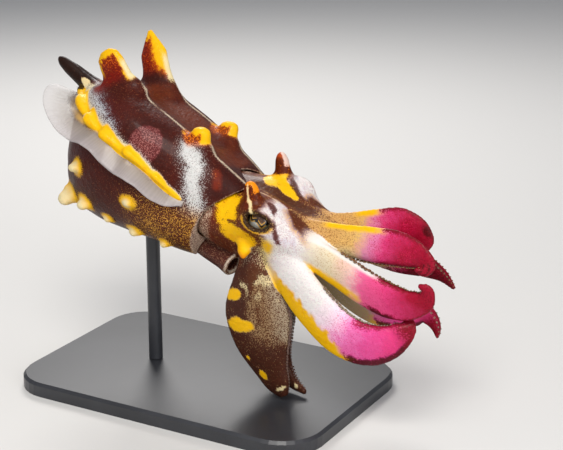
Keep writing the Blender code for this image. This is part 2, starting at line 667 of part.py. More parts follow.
def suckers(name, start, end, around_it):
    """Cups on the stretch of an arm between two places, smaller and closer towards its tip.

    A cup is left out where it would reach past the stretch or come too near to another piece.
    """
    sign, table = ARMS[name]
    chance = np.random.default_rng(SUCKER_SEED + list(ARMS).index(name))
    order = np.linspace(0.0, 1.0, SUCKERS_PER_ARM)
    places = SUCKER_START + (SUCKER_END - SUCKER_START) * order**SUCKER_CROWDING
    sizes = SUCKER_RADIUS[0] + (SUCKER_RADIUS[1] - SUCKER_RADIUS[0]) * order
    sizes = sizes * (1 + SUCKER_VARIATION * chance.standard_normal(SUCKERS_PER_ARM))
    rows = curve_rows(table, places)
    path, blade, side = arm_frames(table, places)
    angle = np.arange(SUCKER_SIDES) / SUCKER_SIDES * 2 * math.pi
    trees = surfaces(around_it)
    cups = []
    taken = []
    for number, place in enumerate(places):
        size = sizes[number]
        reach = size * SUCKER_ROOM / arm_length(name)
        lean = math.radians(SUCKER_LEAN) * (1 if number % 2 else -1)
        high = rows[number, 3] * math.cos(lean)
        flat = rows[number, 4] * math.sin(lean) * (1 + ORAL_THICKENING * math.cos(lean))
        oral = sign * blade[number]
        foot = COLLAR + path[number] + oral * high + side[number] * flat
        out = oral * math.cos(lean) + side[number] * math.sin(lean)
        middle = foot + out * size / 2
        room = min(tree.find_nearest(middle * MM)[3] for tree in trees) / MM
        crowded = any(np.linalg.norm(middle - spot) < size * SUCKER_ROOM + width for spot, width in taken)
        if place - reach < start or place + reach > end or crowded or room < size * SUCKER_ROOM + GAP:
            continue
        taken.append((middle, size))
        across = np.cross(out, side[number])
        across /= np.linalg.norm(across)
        other = np.cross(out, across)
        around = np.cos(angle)[:, None] * across + np.sin(angle)[:, None] * other
        rings = [foot + size * (out * height + around * width) for height, width in SUCKER_PROFILE]
        cups.append(loft("sucker", rings))
    return cups


def rounded_plate():
    """Flat base with round corners and a small bevel on the upper edge."""
    body = bmesh.new()
    bmesh.ops.create_cube(body, size=MM)
    bmesh.ops.scale(body, verts=body.verts, vec=(BASE_LENGTH, BASE_WIDTH, BASE_HEIGHT))
    bmesh.ops.translate(body, verts=body.verts, vec=(0.0, 0.0, BASE_HEIGHT / 2 * MM))
    upright_edges = [edge for edge in body.edges if abs(edge.verts[0].co.z - edge.verts[1].co.z) > MM]
    bmesh.ops.bevel(body, geom=upright_edges, offset=BASE_CORNER * MM, segments=CORNER_STEPS,
                    profile=0.5, affect="EDGES")
    top = [edge for edge in body.edges
           if min(vert.co.z for vert in edge.verts) > (BASE_HEIGHT - BASE_EDGE / 2) * MM]
    bmesh.ops.bevel(body, geom=top, offset=BASE_EDGE * MM, segments=1, affect="EDGES")
    mesh = bpy.data.meshes.new("stand_base")
    body.to_mesh(mesh)
    body.free()
    obj = bpy.data.objects.new("stand_base", mesh)
    bpy.context.scene.collection.objects.link(obj)
    return obj


def rod():
    """Upright round rod from just over the base into the mantle, before it is cut to meet it."""
    low = BASE_HEIGHT + GAP
    body = bmesh.new()
    bmesh.ops.create_cone(body, cap_ends=True, segments=ROD_SIDES, radius1=ROD_RADIUS * MM,
                          radius2=ROD_RADIUS * MM, depth=(ROD_TOP - low) * MM)
    bmesh.ops.translate(body, verts=body.verts,
                        vec=(ROD_AT[0] * MM, ROD_AT[1] * MM, (ROD_TOP + low) / 2 * MM))
    mesh = bpy.data.meshes.new("stand_rod")
    body.to_mesh(mesh)
    body.free()
    obj = bpy.data.objects.new("stand_rod", mesh)
    bpy.context.scene.collection.objects.link(obj)
    return obj


clear_scene()
animal = bpy.data.collections.new("flamboyant_cuttlefish")
bpy.context.scene.collection.children.link(animal)

mantle = mantle_body()
head = head_body()
funnel_tube = funnel()
combine(head, [grown(funnel_tube, GAP)], "DIFFERENCE")
combine(mantle, [grown(head, GAP)], "DIFFERENCE")
combine(mantle, [grown(funnel_tube, GAP)], "DIFFERENCE")

flaps = []
for foot, tip, width, thickness, outline in DORSAL_PAPILLAE:
    flaps.append(papilla(from_mantle(foot), from_mantle(tip), width, thickness, outline))
for x, angle, length, width in BELLY_PAPILLAE:
    for side in (-1, 1):
        point, outward = mantle_side(x, angle, side)
        end = point + outward * length - np.array([BELLY_PAPILLA_SWEEP * length, 0.0, 0.0])
        flaps.append(papilla(from_mantle(point), from_mantle(end), width,
                             width * BELLY_PAPILLA_THINNESS, sides=BELLY_PAPILLA_SIDES))
combine(mantle, flaps, "UNION")

fins = []
for side in (-1, 1):
    made_fin = fin(side)
    combine(made_fin, [grown(mantle, GAP)], "DIFFERENCE")
    fins.append(made_fin)

face = [lips()]
for foot, tip, width, thickness in EYE_PAPILLAE:
    face.append(papilla(from_head(foot), from_head(tip), width, thickness))
for side in (-1, 1):
    foot, tip, width, thickness = CHEEK_FLAP
    mirror = np.array([1.0, side, 1.0])
    face.append(papilla(from_head(foot * mirror), from_head(tip * mirror), width, thickness))
combine(head, face, "UNION")

eyes = []
for word, side, at in EYES:
    lids = [eyelid(np.array(at), side, radius, above) for radius, above in LIDS]
    combine(head, lids, "UNION")
    centre = from_head(at)
    eyes.append(ball(f"eye_{word}", centre, EYE_RADIUS))
    angle = np.arange(OPENING_SIDES) / OPENING_SIDES * 2 * math.pi
    opening = []
    for reach in OPENING_REACH:
        ring = np.stack([EYE_OPENING[0] * np.cos(angle), np.full(OPENING_SIDES, side * reach),
                         EYE_OPENING[1] * np.sin(angle)], axis=1)
        opening.append(from_head(at + ring @ gaze(side)))
    combine(head, [loft("opening", opening)], "DIFFERENCE")
    combine(head, [ball("socket", centre, EYE_RADIUS + GAP)], "DIFFERENCE")

arms = {}
for name in ARMS:
    half_gap = GAP / 2 / arm_length(name)
    arms[name] = [arm_piece(name, "base", 0.0, ARM_SPLIT - half_gap),
                  arm_piece(name, "tip", ARM_SPLIT + half_gap, 1.0)]
    combine(arms[name][0], [grown(head, GAP)], "DIFFERENCE")
combine(arms["right_4"][0], [grown(funnel_tube, GAP)], "DIFFERENCE")
for near, far in (("right_1", "right_2"), ("right_2", "right_3"), ("right_3", "right_4"),
                  ("left_1", "left_2"), ("left_2", "left_3"), ("left_3", "left_4"),
                  ("right_1", "left_1"), ("right_4", "left_4")):
    combine(arms[far][0], [grown(arms[near][0], GAP)], "DIFFERENCE")
for name, (near_piece, far_piece) in arms.items():
    others = [piece for other, pieces in arms.items() if other != name for piece in pieces] + [head]
    for piece, start, end in ((near_piece, 0.0, ARM_SPLIT), (far_piece, ARM_SPLIT, 1.0)):
        cups = suckers(name, start, end, others)
        if cups:
            combine(piece, cups, "UNION")

base = rounded_plate()
upright = rod()
combine(upright, [grown(mantle, GAP)], "DIFFERENCE")

finish(mantle, COLLAR, material("mantle_skin", *SKINS["mantle"]))
finish(head, HEAD_CENTRE, material("head_skin", *SKINS["head"]))
finish(funnel_tube, from_head(FUNNEL_ROOT), material("funnel_skin", *SKINS["funnel"]))
for made_fin, word in zip(fins, ("right", "left")):
    root = from_mantle((FIN_ROWS[0][0], 0.0, 0.0))
    finish(made_fin, root, material(f"fin_{word}_skin", *SKINS["fin"]))
for made_eye, (word, side, at) in zip(eyes, EYES):
    finish(made_eye, from_head(at), material(f"eye_{word}_surface", *SKINS["eye"]))
for name, pieces in arms.items():
    for obj, place in zip(pieces, (0.0, ARM_SPLIT)):
        at = COLLAR + curve_rows(ARMS[name][1], [place])[0][:3]
        finish(obj, at, material(obj.name + "_skin", *SKINS["arm_" + name[-1]]))
finish(base, (0.0, 0.0, 0.0), material("stand_base_paint", *SKINS["stand"]))
finish(upright, (*ROD_AT, BASE_HEIGHT), material("stand_rod_paint", *SKINS["stand"]))
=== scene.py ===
"""Looks of a life-size flamboyant cuttlefish model: painted skin, eyes, fins, suckers and stand.

Lengths are in millimetres until new_piece makes a mesh in metres. +X is forward, +Y is left and
+Z is up. The mantle is given from the middle of its collar and the head from its own centre, each
before it is turned. The arms are given from the middle of the collar, as they stand in the scene.
"""
import math

import bpy
import numpy as np
import openvdb
from mathutils import Matrix, Vector


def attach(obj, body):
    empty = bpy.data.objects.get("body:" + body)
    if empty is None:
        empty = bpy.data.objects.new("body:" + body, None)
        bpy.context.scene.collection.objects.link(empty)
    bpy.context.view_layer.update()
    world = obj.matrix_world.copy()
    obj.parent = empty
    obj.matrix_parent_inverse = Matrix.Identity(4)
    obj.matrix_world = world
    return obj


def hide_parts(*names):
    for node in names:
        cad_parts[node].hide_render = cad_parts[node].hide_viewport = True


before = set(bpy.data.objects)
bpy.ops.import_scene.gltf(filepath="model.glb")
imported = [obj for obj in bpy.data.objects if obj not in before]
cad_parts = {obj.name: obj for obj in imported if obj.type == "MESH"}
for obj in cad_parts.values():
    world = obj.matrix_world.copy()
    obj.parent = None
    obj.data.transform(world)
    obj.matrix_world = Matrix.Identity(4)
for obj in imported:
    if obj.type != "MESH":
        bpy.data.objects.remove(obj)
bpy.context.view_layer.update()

MM = 0.001
# Side of a cell of the grid that the skins are worked out on, and cells on either side of a surface.
VOXEL = 0.4
BAND = math.ceil(5.0 / VOXEL)

# The middle of the collar, the head's centre, and the turn of mantle and head in degrees.
COLLAR = np.array([8.0, 0.0, 52.4])
HEAD_CENTRE = COLLAR + np.array([16.0, 0.0, 0.0])
MANTLE_PITCH, MANTLE_ROLL = 18.0, -12.0
HEAD_PITCH, HEAD_ROLL = 16.0, 8.0

# Each mantle row: x at the back, x at the belly, height of the middle of the back, ridge's distance
# from the middle, ridge's height, half-width, height of the widest line, height of the belly.
MANTLE_ROWS = [
    (6.2, -3.4, 10.6, 6.2, 11.0, 13.2, 0.5, -14.2),
    (-5.0, -8.0, 13.6, 8.2, 14.6, 15.8, 2.5, -15.0),
    (-14.0, -15.0, 15.5, 9.0, 17.0, 18.0, 4.5, -15.8),
    (-25.0, -25.0, 18.0, 9.2, 19.5, 20.0, 8.5, -17.2),
    (-37.0, -36.0, 19.2, 8.6, 20.8, 19.0, 10.5, -18.2),
    (-46.0, -44.0, 17.4, 6.0, 18.4, 15.0, 10.5, -16.8),
    (-52.0, -49.5, 14.8, 3.8, 15.2, 10.0, 8.5, -11.5),
    (-55.4, -52.6, 11.6, 1.8, 11.7, 5.0, 5.5, -3.5),
    (-56.4, -54.4, 8.0, 0.4, 8.0, 0.8, 6.5, 5.0),
]
# The columns of those rows by which other parts are placed and painted.
RIDGE_Y, RIDGE_Z, HALF_WIDTH, WIDEST, BELLY = 3, 4, 5, 6, 7
# Powers of the sine and cosine in a section's arcs: below 1 an arc is fuller than an ellipse.
SHOULDER_FULLNESS, BELLY_FULLNESS = 0.9, 0.88
# Power with which a section leans forward towards its top: it makes the tongue of the collar.
TONGUE = 3.0

# Each head row: x at the top, x at the bottom, half-width, height of the widest line, top, bottom.
HEAD_ROWS = [
    (-25.5, -24.0, 1.0, -4.0, -3.2, -5.0),
    (-24.0, -22.5, 8.5, -3.6, 2.0, -8.0),
    (-19.0, -18.0, 11.8, -2.6, 5.8, -10.6),
    (-13.0, -13.0, 12.1, -2.0, 7.0, -12.0),
    (-6.0, -6.0, 10.9, -1.0, 7.2, -12.6),
    (1.0, 0.5, 10.1, 0.0, 6.7, -12.8),
    (8.0, 5.5, 9.8, 0.0, 6.4, -13.2),
    (13.5, 8.5, 9.0, 0.0, 6.4, -11.8),
    (17.0, 10.5, 6.8, 0.0, 5.0, -8.5),
    (18.6, 13.0, 2.0, 0.0, 2.0, -3.0),
]
# The swelling about each eye: how far out, how much of that it rises, x and z of its middle on
# each side of the head, and how far it spreads along x and z.
EYE_BULGE = 4.1
EYE_BULGE_LIFT = 0.75
EYE_BULGE_RIGHT = (-1.0, 5.2)
EYE_BULGE_LEFT = (-1.8, 5.2)
EYE_BULGE_SPREAD = (7.6, 6.6)
# Each eye: name, side of the head and centre.
EYES = [("right", -1, (-1.4, -8.0, 4.0)), ("left", 1, (-1.2, 7.9, 4.0))]
EYE_RADIUS = 4.1
# Degrees that each eye looks up and forward, and half the length and height of its opening.
GAZE_UP, GAZE_FORWARD = 20.0, 7.0
EYE_OPENING = (3.7, 2.1)
# Each lid: radius of its fold, and 1 for the upper or -1 for the lower one.
LIDS = ((0.75, 1), (0.55, -1))
LID_MARGIN, LID_STANDOFF = 0.5, 1.0
# How much larger than the eye its socket is, and how much smaller the eyeball.
SOCKET_GAP, EYEBALL_PLAY = 0.12, 0.05

# The funnel: its root and mouth in head coordinates, and its radii from root to mouth.
FUNNEL_ROOT = (-20.5, -4.2, -14.0)
FUNNEL_MOUTH = (-8.0, -7.3, -14.4)
FUNNEL_RADII = (3.4, 3.3, 3.1, 2.9, 3.1)
# The bore of the funnel: depth below the mouth, and radius there.
FUNNEL_BORE = [(-0.8, 2.5), (2.0, 2.3), (8.0, 1.6)]
# The lip about the mouth: its centre, its radius and the radius of its fold.
LIP_AT = (18.2, 0.0, -1.6)
LIP_RADII = (1.1, 0.5)

# Each outline of a papilla: share of the height and share of the width, from foot to tip.
PAPILLA_OUTLINES = {
    "paddle": [(0.0, 1.25), (0.25, 0.95), (0.65, 0.95), (0.88, 0.8), (1.0, 0.36)],
    "blade": [(0.0, 1.2), (0.3, 1.0), (0.62, 0.95), (0.8, 0.58), (1.0, 0.14)],
    "finger": [(0.0, 1.3), (0.3, 1.0), (0.7, 0.9), (0.9, 0.68), (1.0, 0.24)],
    "horn": [(0.0, 1.3), (0.3, 1.0), (0.7, 0.82), (0.93, 0.5), (1.0, 0.12)],
}
# Each papilla of the back: foot, tip, half-width, half-thickness and outline.
DORSAL_PAPILLAE = [
    ((-39.2, -8.8, 20.0), (-48.6, -10.4, 27.6), 4.6, 1.9, "paddle"),
    ((-38.2, 8.8, 20.0), (-49.2, 10.6, 34.2), 4.5, 1.8, "blade"),
    ((-11.5, -8.8, 15.6), (-12.8, -9.9, 20.6), 2.9, 2.1, "paddle"),
    ((-13.0, 8.8, 15.8), (-14.6, 10.0, 21.0), 3.1, 2.1, "paddle"),
    ((-51.6, -3.0, 14.2), (-66.0, -3.6, 18.2), 2.3, 1.6, "finger"),
    ((-53.4, 2.4, 13.8), (-66.6, 1.6, 16.6), 2.2, 1.5, "finger"),
]
# Each papilla over an eye: foot, tip, half-width and half-thickness.
EYE_PAPILLAE = [
    ((-4.8, -8.6, 8.2), (-7.2, -8.2, 13.2), 2.1, 1.5),
    ((-6.0, 8.4, 8.8), (-8.6, 9.6, 14.2), 1.9, 1.5),
]
# The flap below each eye on the left side: foot, tip, half-width and half-thickness.
CHEEK_FLAP = ((-4.2, 10.4, -3.6), (-2.6, 12.9, -6.6), 1.52, 1.2)
# How deep the foot of a papilla is sunk below the skin.
PAPILLA_SINK = 3.0
# Share of its length that a belly papilla is swept backwards, and of its width that is its thickness.
BELLY_PAPILLA_SWEEP = 0.35
BELLY_PAPILLA_FLATNESS = 0.7
# Each belly papilla: x, degrees down from the widest line to the belly, length and half-width.
BELLY_PAPILLAE = [
    (-11.0, 62.0, 1.5, 1.3),
    (-20.4, 62.0, 1.8, 1.7),
    (-29.0, 60.0, 1.5, 1.4),
    (-37.3, 56.0, 2.4, 2.0),
    (-44.8, 66.0, 4.0, 2.8),
    (-21.8, 30.0, 1.5, 1.5),
    (-42.0, 30.0, 2.2, 1.9),
]
# Each fin row: x, width of the membrane and how far it droops in degrees.
FIN_ROWS = [
    (-7.0, 2.2, 48.0),
    (-15.0, 4.8, 50.0),
    (-25.0, 6.2, 50.0),
    (-36.0, 6.8, 46.0),
    (-46.0, 8.0, 38.0),
    (-52.0, 10.0, 30.0),
    (-54.8, 9.6, 26.0),
]
# Waves along the fin, degrees that they swing it, and height of its ripples at the edge.
FIN_WAVES, FIN_SWING, FIN_RIPPLE = 3.0, 9.0, 0.16
FIN_STATIONS, FIN_REACH = 320, 26
# Thickness of the membrane by place from its foot to its edge.
FIN_SECTION = [(0.0, 1.3), (0.4, 1.1), (0.75, 0.78), (0.97, 0.6), (1.0, 0.1)]
# How far the fin leans backwards, in degrees, by place along it.
FIN_LEAN = [(0.0, 4.0), (0.64, 13.0), (0.86, 54.0), (1.0, 88.0)]
# How far the fin's foot is sunk into the mantle, and how far it lies below the widest line.
FIN_ROOT, FIN_FOOT_DROP = 2.0, 0.6
# Width of the membrane for which its paint at the foot is placed.
FIN_PAINT_WIDTH = 4.5
# Where the foot of the left fin ends, and from what place along the fin it climbs there.
FIN_END = (-53.8, 3.6, 11.2)
FIN_CLIMB_START = 0.78
# How far the left fin's waves run ahead of the right one's, in radians, so that the two differ.
FIN_PHASE = 0.6

# The yellow line over the fin, on the right side: x, y, z and half-width.
FOOT_LINE = [
    (-55.2, -4.0, 12.6, 1.0), (-51.4, -9.4, 12.4, 1.5), (-46.2, -14.6, 10.8, 1.7),
    (-39.2, -17.9, 9.0, 1.7), (-32.6, -19.4, 8.0, 1.5), (-22.6, -19.7, 6.6, 1.1),
    (-15.7, -18.1, 4.2, 0.75), (-8.4, -16.2, 1.7, 0.45)]
# Where each raised lobe of that line starts, along the body.
FOOT_LOBES = (-57.0, -51.0, -43.5, -36.5, -27.5, -18.0, -6.0)

# Each arm row: x, y, z from the collar, half-width of the blade, half-thickness. The last row is
# the tip. The sign tells on which side of the path, seen from the right, the suckers sit.
ARMS = {
    "right_1": (1, [
        (22.0, -3.4, -1.4, 3.4, 1.9), (30.0, -3.8, -0.4, 4.1, 1.9), (38.0, -4.0, -0.2, 4.4, 1.8),
        (47.0, -4.2, 0.0, 4.9, 1.7), (55.0, -4.6, 0.2, 4.6, 1.5), (60.0, -5.4, -0.6, 3.4, 1.2),
        (62.8, -6.4, -2.4, 2.1, 1.0), (62.0, -7.3, -4.0, 1.3, 0.8), (59.6, -7.9, -3.2, 0.6, 0.45)]),
    "right_2": (-1, [
        (22.0, -6.0, -3.0, 3.8, 2.0), (31.0, -7.2, -5.0, 4.5, 2.0), (38.0, -7.5, -7.8, 4.8, 1.9),
        (46.0, -7.8, -11.2, 5.0, 1.8), (53.5, -8.0, -13.3, 4.9, 1.6), (59.4, -8.2, -13.0, 3.9, 1.4),
        (63.4, -8.4, -10.6, 2.6, 1.1), (63.8, -8.9, -7.8, 1.6, 0.9), (61.4, -9.4, -6.8, 0.6, 0.45)]),
    "right_3": (-1, [
        (18.0, -6.8, -6.5, 4.6, 2.2), (25.0, -8.8, -12.2, 5.9, 2.2), (32.5, -9.4, -19.4, 6.4, 2.1),
        (41.0, -9.8, -24.8, 6.5, 1.9), (49.4, -9.4, -25.6, 5.7, 1.7), (55.2, -8.2, -23.0, 4.0, 1.4),
        (57.6, -6.4, -19.6, 2.4, 1.1), (56.8, -4.8, -17.2, 0.6, 0.5)]),
    "right_4": (-1, [
        (12.0, -6.0, -8.0, 4.6, 2.3), (12.6, -7.8, -15.0, 7.2, 2.4), (13.4, -8.4, -23.5, 10.2, 2.3),
        (14.8, -8.4, -32.0, 8.9, 2.1), (17.6, -8.0, -40.0, 5.4, 1.8), (20.2, -7.6, -45.2, 3.2, 1.4),
        (21.4, -7.4, -47.2, 1.4, 0.7)]),
    "left_1": (1, [
        (22.0, 3.6, -2.4, 3.6, 1.9), (30.0, 3.9, -0.6, 4.3, 1.9), (37.0, 4.1, 0.6, 4.6, 1.8),
        (44.5, 4.2, 2.4, 4.8, 1.7), (51.0, 4.2, 4.0, 4.3, 1.5), (55.4, 4.3, 2.8, 3.2, 1.2),
        (57.2, 4.6, 0.0, 2.2, 1.0), (56.6, 5.0, -3.0, 0.6, 0.5)]),
    "left_2": (-1, [
        (22.0, 6.0, -3.0, 3.8, 2.0), (31.0, 7.0, -3.6, 4.4, 2.0), (40.0, 7.4, -5.4, 4.6, 1.9),
        (48.5, 7.5, -7.0, 4.3, 1.7), (55.5, 7.5, -7.8, 3.3, 1.4), (61.0, 7.3, -9.8, 1.8, 1.0),
        (64.6, 7.0, -12.6, 0.5, 0.4)]),
    "left_3": (-1, [
        (18.0, 6.8, -6.5, 4.6, 2.2), (25.0, 8.6, -12.0, 5.9, 2.2), (33.0, 9.2, -18.6, 6.2, 2.1),
        (42.0, 9.4, -22.6, 5.8, 1.9), (50.0, 9.2, -22.6, 4.6, 1.6), (55.6, 8.8, -21.8, 3.0, 1.3),
        (58.8, 8.4, -24.6, 1.7, 1.0), (59.8, 8.0, -27.8, 0.5, 0.4)]),
    "left_4": (-1, [
        (12.0, 5.4, -8.0, 4.6, 2.3), (11.8, 4.8, -15.0, 6.2, 2.3), (11.0, 3.6, -23.5, 7.6, 2.2),
        (11.8, 2.4, -32.0, 6.8, 2.0), (14.6, 1.4, -40.0, 4.2, 1.7), (19.6, -1.0, -45.0, 2.3, 1.3),
        (25.6, -3.0, -47.0, 0.8, 0.6)]),
}
# Share by which an arm thickens towards its suckers, and how many places along it the paint looks at.
ORAL_THICKENING = 0.35
ARM_PLACES = 140
# Reach in millimetres of each smooth union or cut.
TALL_PAPILLA_BLEND, PAPILLA_BLEND, BELLY_PAPILLA_BLEND, EYE_PAPILLA_BLEND = 4.6, 2.4, 1.2, 1.8
TALL_PAPILLA_WIDTH = 4.0
FOOT_LINE_BLEND, CHEEK_FLAP_BLEND, LIP_BLEND = 0.8, 1.1, 0.3
LID_BLEND, SOCKET_BLEND, EYE_OPENING_BLEND = 1.0, 0.2, 0.7
FUNNEL_BLEND, FUNNEL_BORE_BLEND = 0.9, 0.5
ARM_ROOT_BLEND, ARM_CONTACT_BLEND = 2.6, 0.5
# Gap that the mantle leaves about the neck and the funnel, and the reach of each cut.
NECK_GAP, NECK_BLEND = 0.7, 0.8
FUNNEL_GAP, FUNNEL_CUT_BLEND = 0.5, 0.6
ARM_NODES = [f"arm_{name}_{part}" for name in ARMS for part in ("base", "tip")]

# The photograph's viewing angle in degrees, distance and aim of the camera, and its focal length.
CAMERA_AZIMUTH, CAMERA_ELEVATION = 29.5, 18.0
CAMERA_DISTANCE = 420.0
CAMERA_AIM = np.array([20.56, 6.64, 49.3])
CAMERA_LENS = 97.2


def turn_frame(pitch, roll):
    """Turn by pitch degrees nose down, after a roll in degrees that lifts the left side."""
    nose = Matrix.Rotation(math.radians(pitch), 3, "Y")
    side = Matrix.Rotation(math.radians(roll), 3, "X")
    return np.array(nose @ side)


MANTLE_TURN = turn_frame(MANTLE_PITCH, MANTLE_ROLL)
HEAD_TURN = turn_frame(HEAD_PITCH, HEAD_ROLL)


def from_mantle(points):
    """Mantle coordinates to scene millimetres."""
    return np.asarray(points, float) @ MANTLE_TURN.T + COLLAR


def to_mantle(points):
    """Scene millimetres to mantle coordinates."""
    return (points - COLLAR) @ MANTLE_TURN


def from_head(points):
    """Head coordinates to scene millimetres."""
    return np.asarray(points, float) @ HEAD_TURN.T + HEAD_CENTRE


def to_head(points):
    """Scene millimetres to head coordinates."""
    return (points - HEAD_CENTRE) @ HEAD_TURN


def gaze(side):
    """Turn, applied from the right, that takes the sideways direction to where an eye looks."""
    up = Matrix.Rotation(math.radians(GAZE_UP) * side, 3, "X")
    forward = Matrix.Rotation(-math.radians(GAZE_FORWARD) * side, 3, "Z")
    return np.array(forward @ up).T


def curve_rows(rows, places, width=3):
    """Smooth rows at places from 0 to 1: cubic pieces whose knots lie as far apart as the rows."""
    rows = np.asarray(rows, float)
    steps = np.linalg.norm(np.diff(rows[:, :width], axis=0), axis=1)
    knots = np.concatenate([[0.0], np.cumsum(steps)])
    slopes = np.diff(rows, axis=0) / steps[:, None]
    tangents = np.empty_like(rows)
    tangents[0], tangents[-1] = slopes[0], slopes[-1]
    before, after = steps[:-1, None], steps[1:, None]
    tangents[1:-1] = (slopes[1:] * before + slopes[:-1] * after) / (before + after)
    at = np.asarray(places, float) * knots[-1]
    index = np.clip(np.searchsorted(knots, at, side="right") - 1, 0, len(steps) - 1)
    span = steps[index][:, None]
    t = (at[:, None] - knots[index][:, None]) / span
    start = rows[index] * (1 + 2 * t) * (1 - t) ** 2 + tangents[index] * span * t * (1 - t) ** 2
    end = rows[index + 1] * t**2 * (3 - 2 * t) + tangents[index + 1] * span * t**2 * (t - 1)
    return start + end


def mantle_values(x, *columns):
    """Values of the mantle's rows at x, one array or number for each column."""
    rows = np.asarray(MANTLE_ROWS, float)[::-1]
    return [np.interp(x, rows[:, 0], rows[:, column]) for column in columns]


def unit(vectors):
    """Vectors of length one."""
    return vectors / np.maximum(np.linalg.norm(vectors, axis=-1, keepdims=True), 1e-9)


def smooth(value, low, high):
    """0 below low, 1 above high, and between them three times the square of the share of the way
    less twice its cube.
    """
    t = np.clip((value - low) / (high - low), 0.0, 1.0)
    return t * t * (3 - 2 * t)


def fade(value, low, high):
    """1 below low and 0 above high: one less the smooth step between them."""
    return 1 - smooth(value, low, high)


def turns(count):
    """Angles of so many equal steps of a full turn."""
    return np.arange(count) / count * 2 * math.pi


def hashed(cells, seed):
    """Even chance numbers from 0 to 1 for whole-number cells, by mixing their bits."""
    cells = cells.astype(np.int64)
    mix = (cells[..., 0] * 73856093) ^ (cells[..., 1] * 19349663) ^ (cells[..., 2] * 83492791)
    mix = (mix + seed * 2654435761) & 0xFFFFFFFF
    mix = ((mix ^ (mix >> 15)) * 2246822519) & 0xFFFFFFFF
    mix = ((mix ^ (mix >> 13)) * 3266489917) & 0xFFFFFFFF
    return ((mix ^ (mix >> 16)) & 0xFFFFFF) / float(0xFFFFFF)


def noise(points, size, seed=0, octaves=3):
    """Smooth noise from -1 to 1 whose lumps are about size across; each octave is half as big."""
    total = np.zeros(len(points))
    weight = 0.0
    for octave in range(octaves):
        at = points / size * 2**octave
        cell = np.floor(at)
        t = at - cell
        t = t * t * (3 - 2 * t)
        value = np.zeros(len(points))
        for corner in range(8):
            offset = np.array([corner & 1, corner >> 1 & 1, corner >> 2 & 1])
            share = np.prod(np.where(offset, t, 1 - t), axis=1)
            value += share * hashed(cell + offset, seed + octave)
        total += (value * 2 - 1) * 0.5**octave
        weight += 0.5**octave
    return total / weight


def grid_faces(rings, sides):
    """Quads of a grid closed around its sides, with a fan of triangles on both ends."""
    ring, side = np.meshgrid(np.arange(rings - 1), np.arange(sides), indexing="ij")
    low, beside = ring * sides + side, ring * sides + (side + 1) % sides
    quads = np.stack([low, beside, beside + sides, low + sides], axis=-1).reshape(-1, 4)
    around = np.arange(sides)
    after = (around + 1) % sides
    last = (rings - 1) * sides
    first_fan = np.stack([np.full(sides, rings * sides), after, around], axis=1)
    last_fan = np.stack([np.full(sides, rings * sides + 1), last + around, last + after], axis=1)
    return quads, np.concatenate([first_fan, last_fan])


def loft(rings):
    """Points, quads and triangles of a closed solid through rings of as many points each."""
    rings = np.asarray(rings, float)
    points = np.concatenate([rings.reshape(-1, 3), rings[0].mean(0)[None], rings[-1].mean(0)[None]])
    quads, fans = grid_faces(*rings.shape[:2])
    centre = points.mean(0)
    a, b, c = points[quads[:, 0]] - centre, points[quads[:, 1]] - centre, points[quads[:, 2]] - centre
    if np.einsum("ij,ij->i", a, np.cross(b, c)).sum() < 0:
        quads, fans = quads[:, ::-1], fans[:, ::-1]
    return points, quads, fans


def new_piece(name, points, faces, material, values=None):
    """Mesh object from points in millimetres, with colours per point by attribute name."""
    mesh = bpy.data.meshes.new(name)
    mesh.from_pydata(points * MM, [], faces.tolist() if hasattr(faces, "tolist") else faces)
    for key, colours in (values or {}).items():
        rgba = np.ones((len(points), 4), np.float32)
        rgba[:, :3] = colours
        layer = mesh.color_attributes.new(key, "FLOAT_COLOR", "POINT")
        layer.data.foreach_set("color", rgba.ravel())
    mesh.shade_smooth()
    mesh.update()
    piece = bpy.data.objects.new(name, mesh)
    bpy.context.scene.collection.objects.link(piece)
    mesh.materials.append(material)
    return piece


# Corners of the grid in scene millimetres, and its count of points each way.
LOW = np.array([-66.0, -31.0, 1.0])
HIGH = np.array([80.0, 30.0, 106.0])
COUNTS = np.ceil((HIGH - LOW) / VOXEL).astype(int) + 1


def field(solid):
    """Signed distance in millimetres to a solid on the whole grid, cut off a few voxels away."""
    points, quads, triangles = solid
    at = ((points - LOW) / VOXEL).astype(np.float32)
    grid = openvdb.FloatGrid.createLevelSetFromPolygons(
        at, triangles=triangles.astype(np.uint32), quads=quads.astype(np.uint32),
        transform=openvdb.createLinearTransform(1.0), halfWidth=float(BAND))
    values = np.empty(COUNTS, np.float32)
    grid.copyToArray(values)
    return values * VOXEL


def joined(a, b, reach):
    """Smooth union: the lower of two distances, lowered further where they differ by less than reach,
    by a quarter of reach times the square of the share that is left.
    """
    near = np.maximum(reach - np.abs(a - b), 0.0) / reach
    return np.minimum(a, b) - near * near * reach / 4


def carved(a, b, reach):
    """Smooth cut of the solid b out of a."""
    return -joined(-a, b, reach)


# Strengths of the rounds that even a surface. Each pull inwards is undone by a push outwards.
EVENING = (0.5, -0.52, 0.5, -0.52, 0.5)


def surface(values):
    """Points and quads of the zero surface, evened by a few rounds of averaging with neighbours."""
    grid = openvdb.FloatGrid(float(BAND) * VOXEL)
    grid.copyFromArray(values.astype(np.float32))
    points, _, quads = grid.convertToPolygons(isovalue=0.0, adaptivity=0.0)
    points = points.astype(float) * VOXEL + LOW
    quads = quads.astype(np.int64)
    points, quads = largest_shell(points, quads)
    ends = np.concatenate([quads[:, [0, 1]], quads[:, [1, 2]], quads[:, [2, 3]], quads[:, [3, 0]]])
    for strength in EVENING:
        total = np.zeros_like(points)
        count = np.zeros(len(points))
        for one, other in ((0, 1), (1, 0)):
            for axis in range(3):
                total[:, axis] += np.bincount(ends[:, one], points[ends[:, other], axis], len(points))
            count += np.bincount(ends[:, one], minlength=len(points))
        points = points + strength * (total / count[:, None] - points)
    return points, quads


